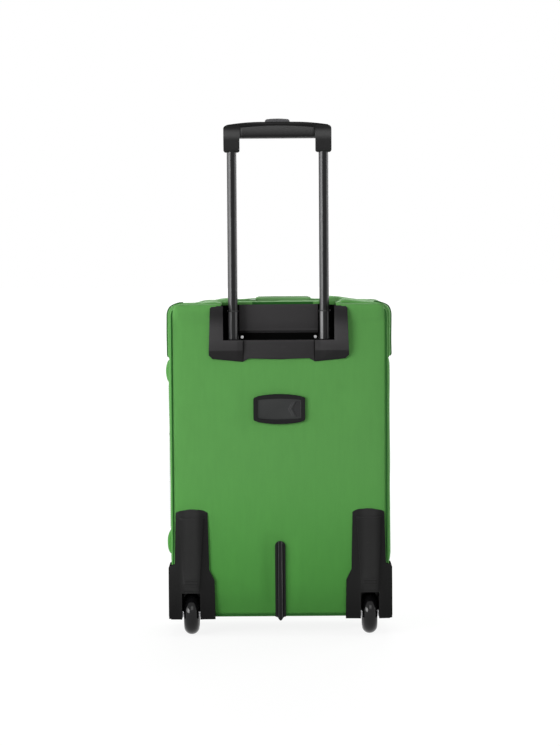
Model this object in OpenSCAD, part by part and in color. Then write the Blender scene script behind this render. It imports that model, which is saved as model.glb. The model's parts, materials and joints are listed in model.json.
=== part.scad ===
// Two-wheel soft cabin case with a two-stage telescopic handle.
// Origin: floor level under the middle of the case. The back, with the handle, faces -Y; the lid faces +Y.

/* [Case] */
// Width of the fabric body
case_w = 352; // [320:1:420]
// Height of the fabric body
case_h = 507; // [470:1:600]
// Depth from the back panel to the lid panel
case_d = 166; // [150:1:220]
// Height of the fabric body above the floor
case_lift = 30; // [28:0.5:36]
// Radius of the body's four corners, seen from behind
corner_r = 20; // [14:1:30]
// Depth of the lid, in front of the main zip
lid_d = 40; // [34:1:60]
// Thickness of the padded side walls
wall_t = 4; // [3:0.5:6]
// Thickness of the padded lid panel
lid_t = 3; // [2:0.5:5]
// Thickness of the back fabric
back_t = 1.6; // [1:0.1:2.5]
// Thickness of the stiffening board behind the back fabric
board_t = 2.4; // [1.5:0.1:4]
// Thickness of the lining
lining_t = 1; // [0.8:0.1:2]
// Diameter of the piping round both edges
piping_d = 4.5; // [3:0.5:6]
// Diameter of the steel wire that keeps the mouth in shape
wire_d = 3; // [2:0.5:4]
// Height of the crown on the top panel
top_crown = 7; // [4:0.5:9]
// Thickness of the top panel where it wraps down the sides
wrap_t = 2; // [1:0.5:3]
// How far the top panel comes down each side
wrap_drop = 90; // [60:1:110]

/* [Main zip] */
// Width of one half of the zip
zip_half = 6; // [5:0.5:9]
// Thickness of the zip's tape
zip_t = 2; // [1.5:0.1:3]
// Height above the floor at which the two sliders meet
zip_meet_z = 330; // [290:1:380]
// Length of a pull tab
pull_len = 26; // [20:1:34]
// Length of a slider
slider_len = 12; // [10:0.5:15]

/* [Front pockets] */
// Width of both pockets
pocket_w = 300; // [240:1:310]
// Height of the lower pocket
lower_pocket_h = 262; // [200:1:270]
// Height of the upper pocket
upper_pocket_h = 150; // [100:1:155]
// How far the pockets stand out from the lid
pocket_d = 14; // [8:1:24]
// Gap between the lower pocket and the upper one
pocket_gap = 18; // [12:1:24]

/* [Carry handles] */
// Length of the top handle's padded grip
top_grip_len = 94; // [80:1:130]
// Distance between the middles of the top handle's anchors
top_anchor_gap = 120; // [112:1:160]
// Length of the top handle's anchor patches
top_anchor_len = 26; // [16:1:30]
// Gap between the side handle's lower anchor and the wheel housing
anchor_room = 12; // [4:1:60]
// Length of the side handle's anchors
anchor_len = 40; // [30:1:50]
// Width of a carry handle
handle_w = 30; // [24:1:40]
// Thickness of a handle's strap
strap_t = 3; // [2:0.5:4]
// Thickness of the top handle's padded grip
pad_t = 5; // [5:0.5:8]
// Height of the anchors of the side handle
anchor_t = 8.5; // [7:0.5:12]

/* [Wheels] */
// Diameter of the tyre
wheel_d = 68; // [60:1:74]
// Width of the tyre
wheel_w = 24; // [18:1:26]
// Distance from a wheel's middle to the side of the case
wheel_side = 32; // [31:0.5:34]
// How far the axle lies in front of the back panel
wheel_inset = 20; // [18:0.5:24]
// Diameter of the hub
hub_d = 44; // [36:1:48]
// Diameter of the axle bolt
axle_d = 8; // [6:0.5:10]
// Outer diameter of a ball bearing
bearing_d = 22; // [19:1:26]
// Width of a ball bearing
bearing_w = 7; // [5:0.5:8]
// Width of the wheel well
well_w = 29.3; // [28:0.1:32]
// Room between the tyre and the well's roof
well_room = 4; // [3:0.5:6]

/* [Wheel housings] */
// Height of the housing's top above the floor
housing_top = 206; // [180:1:230]
// Height of the wide lower part's top
shoulder_z = 112; // [104:1:124]
// Reach of the lower part from the wheel's middle towards the case's middle
housing_in = 39; // [36:0.5:42]
// Reach of the lower part from the wheel's middle outwards
housing_out = 36; // [34:0.5:38]
// How far the lower part stands out behind the case
housing_proud = 11; // [9:0.5:13]
// How far the top stands out behind the case
housing_top_proud = 5; // [4:0.5:7]
// Wall of the moulded housings
shell_t = 3; // [2.5:0.5:4]
// How far the housing runs under the case
housing_d = 66; // [62:1:74]

/* [Handle housing] */
// Width of the handle housing at its foot
bezel_w = 224.7; // [215:0.1:235]
// Height of the handle housing
bezel_h = 94; // [84:1:110]
// How far its frame stands out behind the case
bezel_proud = 10; // [6:0.5:12]
// How far its middle lip stands out
lip_proud = 5.5; // [3:0.5:8]
// Width of the recess that the grip parks in
recess_w = 178; // [177:0.5:184]
// Depth of the recess's floor below the top of the case
recess_h = 59; // [54:0.5:66]
// Depth of the recess into the case
recess_d = 32; // [30:0.5:38]
// Wall of the recess
tub_t = 2.5; // [2:0.5:3.5]

/* [Telescopic handle] */
// Distance from the middle of a tube to the recess's side wall
tube_side = 15.5; // [14.5:0.1:18]
// Distance from the back panel to the middle of the tubes
tube_inset = 14.5; // [14:0.5:16]
// Outer diameter of the inner tubes
inner_d = 15.6; // [14:0.1:16]
// Wall of every tube
tube_t = 1; // [0.8:0.1:1]
// Gap between one tube and the next
tube_slack = 0.3; // [0.2:0.05:0.4]
// Room in the outer tubes under the parked middle tubes
outer_room = 45; // [10:1:60]
// How much of the inner tubes stays inside the middle tubes
inner_overlap = 58; // [45:1:70]
// How far the middle tubes stand out of the recess floor at rest
mid_out = 45; // [20:1:60]
// How far the inner tubes show at rest
inner_out = 252.5; // [200:0.5:270]

/* [Grip] */
// Width of a leg
leg_w = 25.5; // [24:0.5:29]
// Depth of the grip
grip_d = 26; // [22:0.5:27]
// Height of the grip at its middle
grip_h = 48; // [44:0.1:51]
// Height of the grip at its ends
grip_end_h = 42.9; // [40:0.1:44]
// Height of the finger gap under the bar
finger_h = 22.5; // [20:0.5:24]
// Width of the release button
button_w = 38; // [34:1:50]
// How far the button stands out
button_proud = 5.5; // [4.5:0.5:7]
// Travel of the button
button_travel = 4; // [2:0.5:4]

/* [Tag and skid] */
// Width of the name-tag frame
tag_w = 83; // [70:1:100]
// Height of the name-tag frame
tag_h = 48.4; // [40:0.1:60]
// Width of the name-tag window
window_w = 70.5; // [58:0.5:72]
// Height of the name-tag window
window_h = 34; // [26:0.5:36]
// Height of the tag's middle above the floor
tag_z = 367; // [250:1:400]
// Thickness of the name-tag frame
tag_t = 5; // [4:0.5:6]
// Thickness of the name tag
card_t = 1.5; // [1:0.1:1.8]
// Width of the skid bar
skid_w = 18; // [14:0.5:24]
// Height of the skid bar on the back
skid_h = 124; // [90:1:150]
// How far the skid bar stands out
skid_proud = 8; // [6:0.5:10]
// Reach of the skid bar below the fabric
skid_under = 5; // [3:0.5:6]
// Width of a front foot
foot_w = 20; // [16:1:30]
// Depth of a front foot
foot_d = 26; // [20:1:30]

/* [Hidden] */
$fn = 48;
eps = 0.01;
run_fit = 0.06; // radial clearance of a running fit
soft_gap = 0.3; // gap between pieces of different bodies

slider_top = 3.3; // height of a slider's body above the tape
pin_lift = 5; // height of a pull's pin above the tape
pull_t = 1.6;
pull_eye_r = 1.6;
ear_r = 1.5; // radius of the ears that hold a pull's pin
pull_rise = pin_lift + pull_eye_r; // height of slider and pull together
chain_t = 1.2; // height of a pocket's zip over the pocket

wheel_r = wheel_d / 2;
wheel_x = case_w / 2 - wheel_side;
wheel_proud = wheel_r - wheel_inset;
y_back = -(case_d + pocket_d + chain_t + pull_rise - wheel_proud) / 2; // outer face of the back fabric
y_front = y_back + case_d;
y_zip = y_front - lid_d;
z_top = case_lift + case_h;
wheel_y = y_back + wheel_inset;
side_x = case_w / 2;

floor_z = z_top - recess_h; // floor of the grip's recess
tube_y = y_back + tube_inset;
tube_x = recess_w / 2 - tube_side;
inner_r = inner_d / 2;
mid_ri = inner_r + tube_slack;
mid_r = mid_ri + tube_t - 0.2;
outer_ri = mid_r + tube_slack;
outer_r = outer_ri + tube_t - 0.2;
collar_h = 2;
bush_h = 8;
mid_top = floor_z + mid_out; // top of the middle tubes
leg_z = mid_top + collar_h + inner_out; // underside of the grip's legs
bar_z = leg_z + finger_h + 9; // underside of the bar that links the rods to the button
socket_depth = bar_z - leg_z - button_travel - 1; // the pressed bar stays 1 mm above the tubes
plug_h = 10;
inner_bottom = mid_top - inner_overlap;
mid_bottom = inner_bottom - inner_out - 2 * plug_h - 3; // the parked inner tubes end 3 mm above the plug's neck
outer_top = floor_z - bush_h;
outer_bottom = mid_bottom - mid_out - plug_h - outer_room;

tray_y = y_back + recess_d + tub_t + 1; // floor of the packing space
rim_y = y_back + recess_d + tub_t + 0.3; // where the top panel meets the recess
house_top = z_top - 3; // top of the handle housing

rib_t = 1.5;
bezel_foot = z_top - bezel_h; // height of the handle housing's foot
housing_foot = case_lift - 1.5; // height of the wheel housings' foot
well_box_x = wheel_x - housing_in + 6; // inner face of the box round a wheel
well_box_top = shoulder_z - 14;

// ---- helpers ----

// a rectangle with round corners, standing on Y = 0
module rounded(w, h, r) {
    translate([r - w / 2, 0]) square([w - 2 * r, h]);
    translate([-w / 2, r]) square([w, h - 2 * r]);
    for (x = [r - w / 2, w / 2 - r], y = [r, h - r]) translate([x, y]) circle(r);
}

// turns an outline in X and Z into a slab from y0 to y0 + depth
module upright(y0, depth) {
    translate([0, y0 + depth, 0]) rotate([90, 0, 0]) linear_extrude(depth) children();
}

// turns an outline in Y and Z into a slab from x0 to x0 + depth
module sideways(x0, depth) {
    translate([x0, 0, 0]) multmatrix([[0, 0, 1, 0], [1, 0, 0, 0], [0, 1, 0, 0]]) linear_extrude(depth) children();
}

// the body's outline seen from behind, drawn inwards by inset
module outline(inset) {
    translate([0, case_lift + inset])
        rounded(case_w - 2 * inset, case_h - 2 * inset, corner_r - min(inset, corner_r - 4));
}

// a band round the body, from outside to inside, as deep as depth
module band(y0, depth, outer, inner) {
    upright(y0, depth) difference() {
        outline(outer);
        outline(inner);
    }
}

// a round cord along the body's outline, drawn inwards by inset
module ring_cord(y, d, inset) {
    r = corner_r - min(inset, corner_r - 4);
    x = side_x - inset - r;
    z_low = case_lift + inset + r;
    z_high = z_top - inset - r;
    for (s = [-1, 1]) {
        translate([s * (side_x - inset), y, z_low]) cylinder(d = d, h = z_high - z_low);
        translate([-x, y, s > 0 ? z_high + r : z_low - r]) rotate([0, 90, 0]) cylinder(d = d, h = 2 * x);
    }
    for (c = [[x, z_high, 0], [-x, z_high, 90], [-x, z_low, 180], [x, z_low, 270]])
        translate([c[0], y, c[1]]) rotate([90, 0, 0]) rotate([0, 0, c[2]])
            rotate_extrude(angle = 90) translate([r, 0]) circle(d = d);
}

module box(low, high) {
    translate(low) cube(high - low);
}

// one copy on each side; the right one is drawn
module both() {
    children();
    mirror([1, 0, 0]) children();
}

// room that the recess of the grip takes out of the body
module recess_cut(room) {
    box([-recess_w / 2 - tub_t - room, y_back - 20, floor_z - tub_t - room],
        [recess_w / 2 + tub_t + room, y_back + recess_d + tub_t + room, z_top + 30]);
}

// room that the two wheel housings take out of the body
module wheel_cuts(room) {
    both() box([well_box_x - room, y_back - 20, case_lift - 5],
        [side_x + 30, y_back + housing_d + room, well_box_top + room]);
}

module body_cuts(room) {
    recess_cut(room);
    wheel_cuts(room);
}

// ---- fabric body ----

module back_panel() {
    color("forestgreen") difference() {
        upright(y_back, back_t) outline(piping_d);
        body_cuts(0);
        skid_holes();
    }
}

module back_board() {
    color("dimgray") difference() {
        upright(y_back + back_t, board_t) outline(max(wall_t, piping_d));
        body_cuts(0);
        skid_holes();
    }
}

gusset_y = y_back + piping_d - 1; // the piping stands 1 mm out behind the back panel
module body_gusset() {
    color("forestgreen") difference() {
        band(gusset_y, y_zip - zip_half - gusset_y, 0, wall_t);
        body_cuts(0);
    }
}

// a crowned panel over the top, wrapped down both sides
module top_panel() {
    $fn = 240;
    depth = y_zip - zip_half - gusset_y;
    rise_r = (pow(case_w / 2 - corner_r, 2) + pow(top_crown, 2)) / (2 * top_crown);
    color("limegreen") difference() {
        union() {
            intersection() {
                upright(gusset_y, depth) translate([0, z_top - rise_r + top_crown]) circle(rise_r, $fn = 1200);
                box([-side_x, y_back, z_top], [side_x, y_front, z_top + 20]);
            }
            intersection() {
                band(gusset_y, depth, -wrap_t, 0);
                box([-side_x - 5, y_back, z_top - wrap_drop], [side_x + 5, y_front, z_top + 5]);
            }
        }
        box([-recess_w / 2 - tub_t, y_back, z_top - 1], [recess_w / 2 + tub_t, rim_y, z_top + 20]);
        box([-top_anchor_gap / 2 - top_anchor_len / 2 - 2, handle_y - handle_w / 2 - 5, z_top + top_crown / 3],
            [top_anchor_gap / 2 + top_anchor_len / 2 + 2, handle_y + handle_w / 2 + 5, z_top + 20]);
    }
}

module back_piping() {
    color("darkgreen") difference() {
        ring_cord(gusset_y - piping_d / 2, piping_d, piping_d / 2);
        both() box([wheel_x - housing_in, y_back - 20, case_lift - 5],
            [side_x + 30, y_back + housing_d, shoulder_z + 6]);
        box([-bezel_w / 2, y_back - 20, z_top - 20], [bezel_w / 2, y_front, z_top + 20]);
    }
}

module rim_wire() {
    color("silver") ring_cord(y_zip - zip_half - wire_d, wire_d, wall_t + 0.2 + wire_d / 2);
}

module body_lining() {
    inset = wall_t + wire_d + 0.4;
    color("lightgray") difference() {
        upright(tray_y, y_zip - tray_y - 1) outline(inset);
        upright(tray_y + lining_t, y_zip - tray_y) outline(inset + lining_t);
        wheel_cuts(0.3);
    }
}

strap_x = case_w / 4; // the packing straps stand a quarter of the width from the middle
strap_half = 12;
buckle_half = [15, 20];
buckle_t = 4;
module packing_straps() {
    color("black") for (s = [-1, 1]) difference() {
        box([s * strap_x - strap_half, tray_y + lining_t, shoulder_z],
            [s * strap_x + strap_half, tray_y + lining_t + 1.2, z_top - 1.5 * corner_r]);
        box([s * strap_x - buckle_half[0], y_back, buckle_z - buckle_half[1]],
            [s * strap_x + buckle_half[0], y_front, buckle_z + buckle_half[1]]);
    }
}

buckle_z = case_lift + case_h / 2;
module strap_buckle() {
    color("black") for (s = [-1, 1]) translate([s * strap_x, tray_y + lining_t, buckle_z]) difference() {
        box([-buckle_half[0], 0, -buckle_half[1]], [buckle_half[0], buckle_t, buckle_half[1]]);
        box([-buckle_half[0] * 0.6, buckle_t / 2, -buckle_half[1] * 0.3],
            [buckle_half[0] * 0.6, buckle_t + 1, buckle_half[1] * 0.3]);
    }
}

teeth_proud = 0.6; // how far the closed teeth stand out of the tape
// teeth and tape of one half of the main zip, away from the seam on the side dir
module zip_half_ring(dir) {
    teeth = 2.2;
    y_tape = dir < 0 ? y_zip - zip_half : y_zip + teeth;
    y_teeth = dir < 0 ? y_zip - teeth : y_zip + soft_gap / 2;
    band(y_tape, zip_half - teeth, 0, zip_t);
    difference() {
        band(y_teeth, teeth - soft_gap / 2, -teeth_proud, zip_t + teeth_proud);
        hinge_side();
        box([side_x, y_front - case_d, 0], [side_x + 5, y_front, z_top + 5]);
    }
}

// the side on which the lid is hinged, between its two corners
module hinge_side() {
    box([side_x - corner_r, y_zip - 20, case_lift + 2 * corner_r],
        [side_x + 10, y_zip + 20, z_top - 2 * corner_r]);
}

module zip_body() {
    color("darkgreen") difference() {
        zip_half_ring(-1);
        hinge_side();
    }
}

module zip_lid() {
    color("darkgreen") zip_half_ring(1);
}

module lid_hinge() {
    color("forestgreen") intersection() {
        band(y_zip - zip_half, zip_half - soft_gap / 2, 0, zip_t);
        hinge_side();
    }
}

// ---- lid ----

module lid_gusset() {
    color("forestgreen") band(y_zip + zip_half, lid_d - zip_half - piping_d, 0, wall_t);
}

module lid_panel() {
    color("forestgreen") upright(y_front - lid_t, lid_t) outline(piping_d);
}

module front_piping() {
    color("darkgreen") ring_cord(y_front - piping_d / 2, piping_d, piping_d / 2);
}

module lid_lining() {
    color("lightgray") upright(y_front - lid_t - lining_t, lining_t) outline(max(wall_t, piping_d));
}

pocket_r = 24;
pocket_foot = case_lift + 24;
upper_foot = pocket_foot + lower_pocket_h + pocket_gap;
module pocket(z, h) {
    color("forestgreen") upright(y_front, pocket_d) translate([0, z]) rounded(pocket_w, h, pocket_r);
}

module lower_pocket() {
    pocket(pocket_foot, lower_pocket_h);
}

module upper_pocket() {
    pocket(upper_foot, upper_pocket_h);
}

zip_low_z = pocket_foot + lower_pocket_h - 26;
zip_high_z = upper_foot + upper_pocket_h - 26;
pocket_zip_half = pocket_w / 2 - 18;
module pocket_zips() {
    y = y_front + pocket_d;
    color("black") for (z = [zip_low_z, zip_high_z]) {
        box([-pocket_zip_half, y, z - 8], [pocket_zip_half, y + 0.5, z + 8]);
        box([-pocket_zip_half, y + 0.5, z - 2.5], [pocket_zip_half, y + chain_t, z + 2.5]);
    }
}

// ---- zip sliders: the tape lies in X and Y, and the pull hangs towards -X ----

module slider(len, wide) {
    color("dimgray") {
        box([-len / 2, -wide / 2, 0.3], [len / 2, wide / 2, slider_top]);
        for (s = [-1, 1]) translate([0, s * 2.9, 0]) rotate([90, 0, 0]) {
            translate([0, pin_lift, -0.6]) cylinder(r = ear_r, h = 1.2);
            translate([-ear_r, slider_top - eps, -0.6]) cube([2 * ear_r, pin_lift - slider_top, 1.2]);
        }
        translate([0, 3.4, pin_lift]) rotate([90, 0, 0]) cylinder(r = 0.8, h = 6.8);
    }
}

module pull() {
    color("black") rotate([90, 0, 0]) difference() {
        translate([0, pin_lift, -2]) union() {
            cylinder(r = pull_eye_r, h = 4);
            translate([-pull_len, -pull_t / 2, 0]) cube([pull_len, pull_t, 4]);
            translate([-pull_len, -pull_t / 2, -1.5]) cube([pull_len * 0.7, pull_t, 7]);
        }
        translate([0, pin_lift, -3]) cylinder(r = 0.8 + run_fit, h = 6);
    }
}

// places the next shape on the left side wall, with its pull hanging down
module on_side(z) {
    translate([-side_x - teeth_proud, y_zip, z]) multmatrix([[0, 0, -1, 0], [0, 1, 0, 0], [1, 0, 0, 0]]) children();
}

// places the next shape on a pocket's zip, with its pull hanging down
module on_pocket(x, z) {
    translate([x, y_front + pocket_d + chain_t, z]) multmatrix([[0, 1, 0, 0], [0, 0, 1, 0], [1, 0, 0, 0]]) children();
}

upper_slider_z = zip_meet_z + pull_len / 2 + slider_len / 2;
module upper_slider() {
    on_side(upper_slider_z) slider(slider_len, 8);
}

module upper_pull() {
    on_side(upper_slider_z) pull();
}

lower_slider_z = upper_slider_z - pull_len - slider_len / 2;
module lower_slider() {
    on_side(lower_slider_z) slider(slider_len, 8);
}

module lower_pull() {
    on_side(lower_slider_z) pull();
}

pocket_slider_x = pocket_zip_half - slider_len;
module low_pocket_slider() {
    on_pocket(pocket_slider_x, zip_low_z) slider(7, slider_len);
}

module low_pocket_pull() {
    on_pocket(pocket_slider_x, zip_low_z) pull();
}

module top_pocket_slider() {
    on_pocket(pocket_slider_x, zip_high_z) slider(7, slider_len);
}

module top_pocket_pull() {
    on_pocket(pocket_slider_x, zip_high_z) pull();
}

// ---- carry handles ----

handle_y = (y_back + recess_d + tub_t + y_zip - zip_half) / 2;
top_anchor_t = 1.5;
module top_handle() {
    z0 = z_top + top_crown / 3 + top_anchor_t;
    color("lightgreen") upright(handle_y - handle_w / 2, handle_w) {
        translate([-top_anchor_gap / 2, z0]) square([top_anchor_gap, strap_t]);
        translate([0, z0]) rounded(top_grip_len, pad_t, 2.4);
    }
}

module side_handle() {
    x0 = -side_x - wrap_t - 0.4;
    color("forestgreen") box([x0 - strap_t, handle_y - handle_w / 2, anchor_low],
        [x0, handle_y + handle_w / 2, anchor_high]);
}

anchor_high = z_top - wrap_drop - 2 - anchor_len / 2; // the upper anchor ends 2 mm under the top panel's wrap
anchor_low = shoulder_z + anchor_room + anchor_len / 2;
module handle_anchors() {
    color("forestgreen") for (s = [-1, 1]) {
        translate([s * top_anchor_gap / 2, handle_y, 0])
            box([-top_anchor_len / 2, -handle_w / 2 - 3, z_top + top_crown / 3],
                [top_anchor_len / 2, handle_w / 2 + 3, z_top + top_crown / 3 + top_anchor_t]);
        difference() {
            translate([-side_x, handle_y - handle_w / 2 - 3, s > 0 ? anchor_high : anchor_low])
                rotate([-90, 0, 0]) intersection() {
                    translate([anchor_bulge_r - anchor_t, 0, 0]) cylinder(r = anchor_bulge_r, h = handle_w + 6);
                    translate([-20, -anchor_len / 2, 0]) cube([20, anchor_len, handle_w + 6]);
                }
            side_handle();
        }
    }
}
anchor_bulge_r = (pow(anchor_len / 2, 2) + pow(anchor_t, 2)) / (2 * anchor_t);

// ---- feet, screws and skid ----

foot_x = wheel_x + 3; // right before the wheels
foot_y = y_zip - zip_half - foot_d / 2 - 4; // right behind the zip
module front_feet() {
    color("black") both() translate([foot_x, foot_y, 0]) difference() {
        union() {
            linear_extrude(case_lift - 3) translate([0, -foot_d / 2]) rounded(foot_w, foot_d, 6);
            translate([0, 0, case_lift - 3]) linear_extrude(3)
                translate([0, -foot_d / 2 - 3]) rounded(foot_w + 4, foot_d + 6, 6);
        }
        for (s = [-1, 1]) translate([s * foot_w / 4, 0, -eps]) {
            cylinder(r = screw_head_r + 0.5, h = case_lift - 6);
            cylinder(r = screw_r, h = case_lift + 1);
        }
    }
}

screw_r = 1.4;
screw_head_r = 2.4;
// a pan-head screw that points along -Z from its head at Z = 0
module screw(len) {
    cylinder(r = screw_head_r, h = 2);
    translate([0, 0, -len]) cylinder(r = screw_r, h = len + eps);
}

skid_rib_t = 2.5; // how far the rib stands out of the bar
skid_bite = 5; // how far its screws, put in from inside, reach into the bar
skid_screw_z = [case_lift + skid_h / 4, case_lift + skid_h - skid_w];
recess_screw_x = tube_x - outer_r - 4.5;
recess_screw_z = floor_z + screw_head_r + 1;
module case_screws() {
    color("silver") {
        for (x = [-foot_x, foot_x], s = [-1, 1])
            translate([x + s * foot_w / 4, foot_y, case_lift - 6 - eps]) mirror([0, 0, 1]) screw(6);
        for (z = skid_screw_z)
            translate([0, y_back + back_t + board_t, z]) rotate([-90, 0, 0]) screw(back_t + board_t + skid_bite);
        for (s = [-1, 1])
            translate([s * recess_screw_x, y_back + recess_d, recess_screw_z]) rotate([90, 0, 0]) screw(tub_t);
        for (x = [-1, 1]) translate([x * bracket_hole_x, tube_y + outer_r + 1 - bracket_lip, bracket_z + bracket_web_h / 2])
            rotate([-90, 0, 0]) screw(tube_inset + outer_r + 1 - bracket_lip - back_t - board_t);
    }
}

module skid_holes() {
    for (z = skid_screw_z) translate([0, y_back - skid_bite, z]) rotate([-90, 0, 0]) cylinder(r = screw_r, h = 12);
}

module skid_bar() {
    low = case_lift - skid_under;
    color("black") difference() {
        union() {
            upright(y_back - skid_proud + skid_rib_t, skid_proud - skid_rib_t) {
                translate([-skid_w / 2, low + 3]) square([skid_w, skid_h + skid_under - skid_w / 2 - 3]);
                translate([0, case_lift + skid_h - skid_w / 2]) circle(d = skid_w);
                polygon([[-skid_w / 2, low + 3], [0, low], [skid_w / 2, low + 3]]);
            }
            upright(y_back - skid_proud, skid_rib_t + eps) {
                translate([-skid_w / 5, low + 4]) square([skid_w * 0.4, skid_h + skid_under - skid_w * 0.5 - 4]);
                translate([0, case_lift + skid_h - skid_w / 2]) circle(r = skid_w / 5);
            }
            box([-skid_w / 2, y_back - eps, low + 3], [skid_w / 2, y_back + 24, case_lift]);
        }
        // a notch that clears the piping
        box([-skid_w, y_back - 1.1, case_lift], [skid_w, y_back + 1, case_lift + piping_d + 0.2]);
        skid_holes();
    }
}

// ---- handle housing ----

lobe_x = bezel_w / 2 * 0.515; // tips of the two lobes at the foot
groove_w = 1.6;
groove_t = 2.5;

module bezel_outline() {
    half = bezel_w / 2;
    for (s = [-1, 1]) polygon([[0, house_top], [0, bezel_foot + 4], [s * half * 0.43, bezel_foot + 5.5],
        [s * lobe_x, bezel_foot], [s * (half - 6), bezel_foot + 5], [s * half, bezel_foot + 11],
        [s * (half - 2.5), house_top - 4], [s * (half - 6), house_top]]);
}

// the frame's section seen from the side: it slopes back below its facet line
module bezel_profile() {
    polygon([[y_back, bezel_foot - 1], [y_back - 2.5, bezel_foot - 1], [y_back - bezel_proud, bezel_foot + 19],
        [y_back - bezel_proud, house_top - 10], [y_back - bezel_proud + 4, house_top + 1], [y_back, house_top + 1]]);
}

panel_half = tube_x - outer_r; // half width of the raised panel between the tubes
module trolley_housing() {
    color("dimgray") difference() {
        union() {
            difference() {
                intersection() {
                    upright(y_back - 20, 20) bezel_outline();
                    sideways(-bezel_w, 2 * bezel_w) bezel_profile();
                }
                box([-lobe_x, y_back - 30, bezel_foot - 5], [lobe_x, y_back - lip_proud, z_top + 5]);
                // a shadow groove between the lip and each lobe
                both() box([lobe_x - groove_w, y_back - 30, bezel_foot - 5],
                    [lobe_x, y_back - lip_proud + groove_t, floor_z]);
            }
            box([-recess_w / 2 - tub_t, y_back - eps, floor_z - tub_t],
                [recess_w / 2 + tub_t, y_back + recess_d + tub_t, house_top]);
        }
        difference() {
            box([-recess_w / 2, y_back - 30, floor_z], [recess_w / 2, y_back + recess_d, z_top + 10]);
            sideways(-panel_half, 2 * panel_half) polygon([[y_back + recess_d + 1, floor_z + 9],
                [y_back + recess_d - 3.2, floor_z + 14], [y_back + recess_d - 3.2, house_top + 1],
                [y_back + recess_d + 1, house_top + 1]]);
        }
        both() translate([tube_x, tube_y, floor_z - 20]) cylinder(r = outer_r, h = 30);
        both() translate([recess_screw_x, y_back + recess_d - 2, recess_screw_z]) rotate([-90, 0, 0])
            cylinder(r = screw_r, h = 10);
    }
}

// ---- telescopic handle ----

module tube(ro, ri, z0, z1) {
    translate([tube_x, tube_y, z0]) difference() {
        cylinder(r = ro, h = z1 - z0);
        translate([0, 0, -1]) cylinder(r = ri, h = z1 - z0 + 2);
    }
}

module outer_tubes() {
    color("silver") both() tube(outer_r, outer_ri, outer_bottom, outer_top);
}

bracket_z = outer_bottom - 6;
bracket_hole_x = tube_x - outer_r - 14;
bracket_lip = 4;
bracket_h = 22;
bracket_web_h = 18;
module tube_bracket() {
    y0 = y_back + back_t + board_t;
    y1 = tube_y + outer_r + 1;
    color("black") difference() {
        union() {
            both() box([tube_x - outer_r - 3, y0, bracket_z], [tube_x + outer_r + 3, y1, bracket_z + bracket_h]);
            box([-tube_x, y0, bracket_z], [tube_x, y1 - bracket_lip, bracket_z + bracket_web_h]);
        }
        both() translate([tube_x, tube_y, outer_bottom]) cylinder(r = outer_r, h = 40);
        both() translate([bracket_hole_x, y0 - 1, bracket_z + bracket_web_h / 2]) rotate([-90, 0, 0])
            cylinder(r = screw_r, h = 40);
    }
}

module tube_bushings() {
    color("black") both() {
        tube(outer_r, mid_r + run_fit, outer_top, floor_z);
        tube(outer_r + 2.2, mid_r + run_fit, floor_z, floor_z + 1.2);
    }
}

module mid_tubes() {
    color("gray") both() tube(mid_r, mid_ri, mid_bottom, mid_top);
}

module mid_collars() {
    color("black") both() tube(mid_r + 0.5, inner_r + run_fit, mid_top, mid_top + collar_h);
}

// a plug in the foot of a tube, with a neck that fills its bore
module plug(head_r, neck_r, z) {
    translate([tube_x, tube_y, z - plug_h]) {
        cylinder(r = head_r, h = plug_h);
        translate([0, 0, plug_h - eps]) cylinder(r = neck_r, h = plug_h);
    }
}

module mid_plugs() {
    color("black") both() plug(outer_ri - 0.1, mid_ri, mid_bottom);
}

module inner_tubes() {
    color("gray") both() tube(inner_r, inner_r - tube_t, inner_bottom, leg_z + socket_depth);
}

pin_r = 2.4;
pin_z = inner_bottom - plug_h / 2;
pin_travel = 1.6;
module inner_plugs() {
    color("black") difference() {
        both() plug(mid_ri - 0.1, inner_r - tube_t, inner_bottom);
        both() translate([tube_x, tube_y + pin_travel + 1.2, pin_z]) rotate([90, 0, 0])
            cylinder(r = pin_r + run_fit, h = 20);
        both() translate([tube_x, tube_y, pin_z]) cylinder(r = rod_r + 0.3, h = 40);
    }
}

module lock_pins() {
    color("silver") both() translate([tube_x, tube_y + 1, pin_z]) rotate([90, 0, 0]) difference() {
        cylinder(r = pin_r, h = 8);
        translate([-3, -0.5, -1]) cube([6, 6, 3.9 + pin_travel]);
    }
}

rod_r = 1.5;
bar_h = 3;
rod_foot = pin_z + button_travel + 1;
module release_linkage() {
    color("silver") {
        both() translate([tube_x, tube_y, rod_foot]) cylinder(r = rod_r, h = bar_z - rod_foot + eps);
        difference() {
            box([-tube_x - 3, tube_y - 3.5, bar_z], [tube_x + 3, tube_y + 3.5, bar_z + bar_h]);
            translate([0, tube_y, bar_z - 1]) cylinder(r = spring_bore_r, h = bar_h + 2);
        }
    }
}

grip_half = tube_x + leg_w / 2;
cavity_z = leg_z + finger_h + 2.4;
cavity_h = bar_z + bar_h + 0.5 - cavity_z;
button_z = bar_z + bar_h;
grip_top = leg_z + grip_h;
module release_button() {
    top = grip_top + button_proud;
    color("dimgray") {
        upright(tube_y - 7.5, 15) translate([0, grip_top - 3.5]) rounded(button_w, button_proud + 3.5, 2.5);
        difference() {
            box([-6, tube_y - 3, button_z], [6, tube_y + 3, top - 5]);
            translate([0, tube_y, button_z - 1]) cylinder(r = spring_bore_r, h = spring_bore_top - button_z + 1);
        }
    }
}

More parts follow.
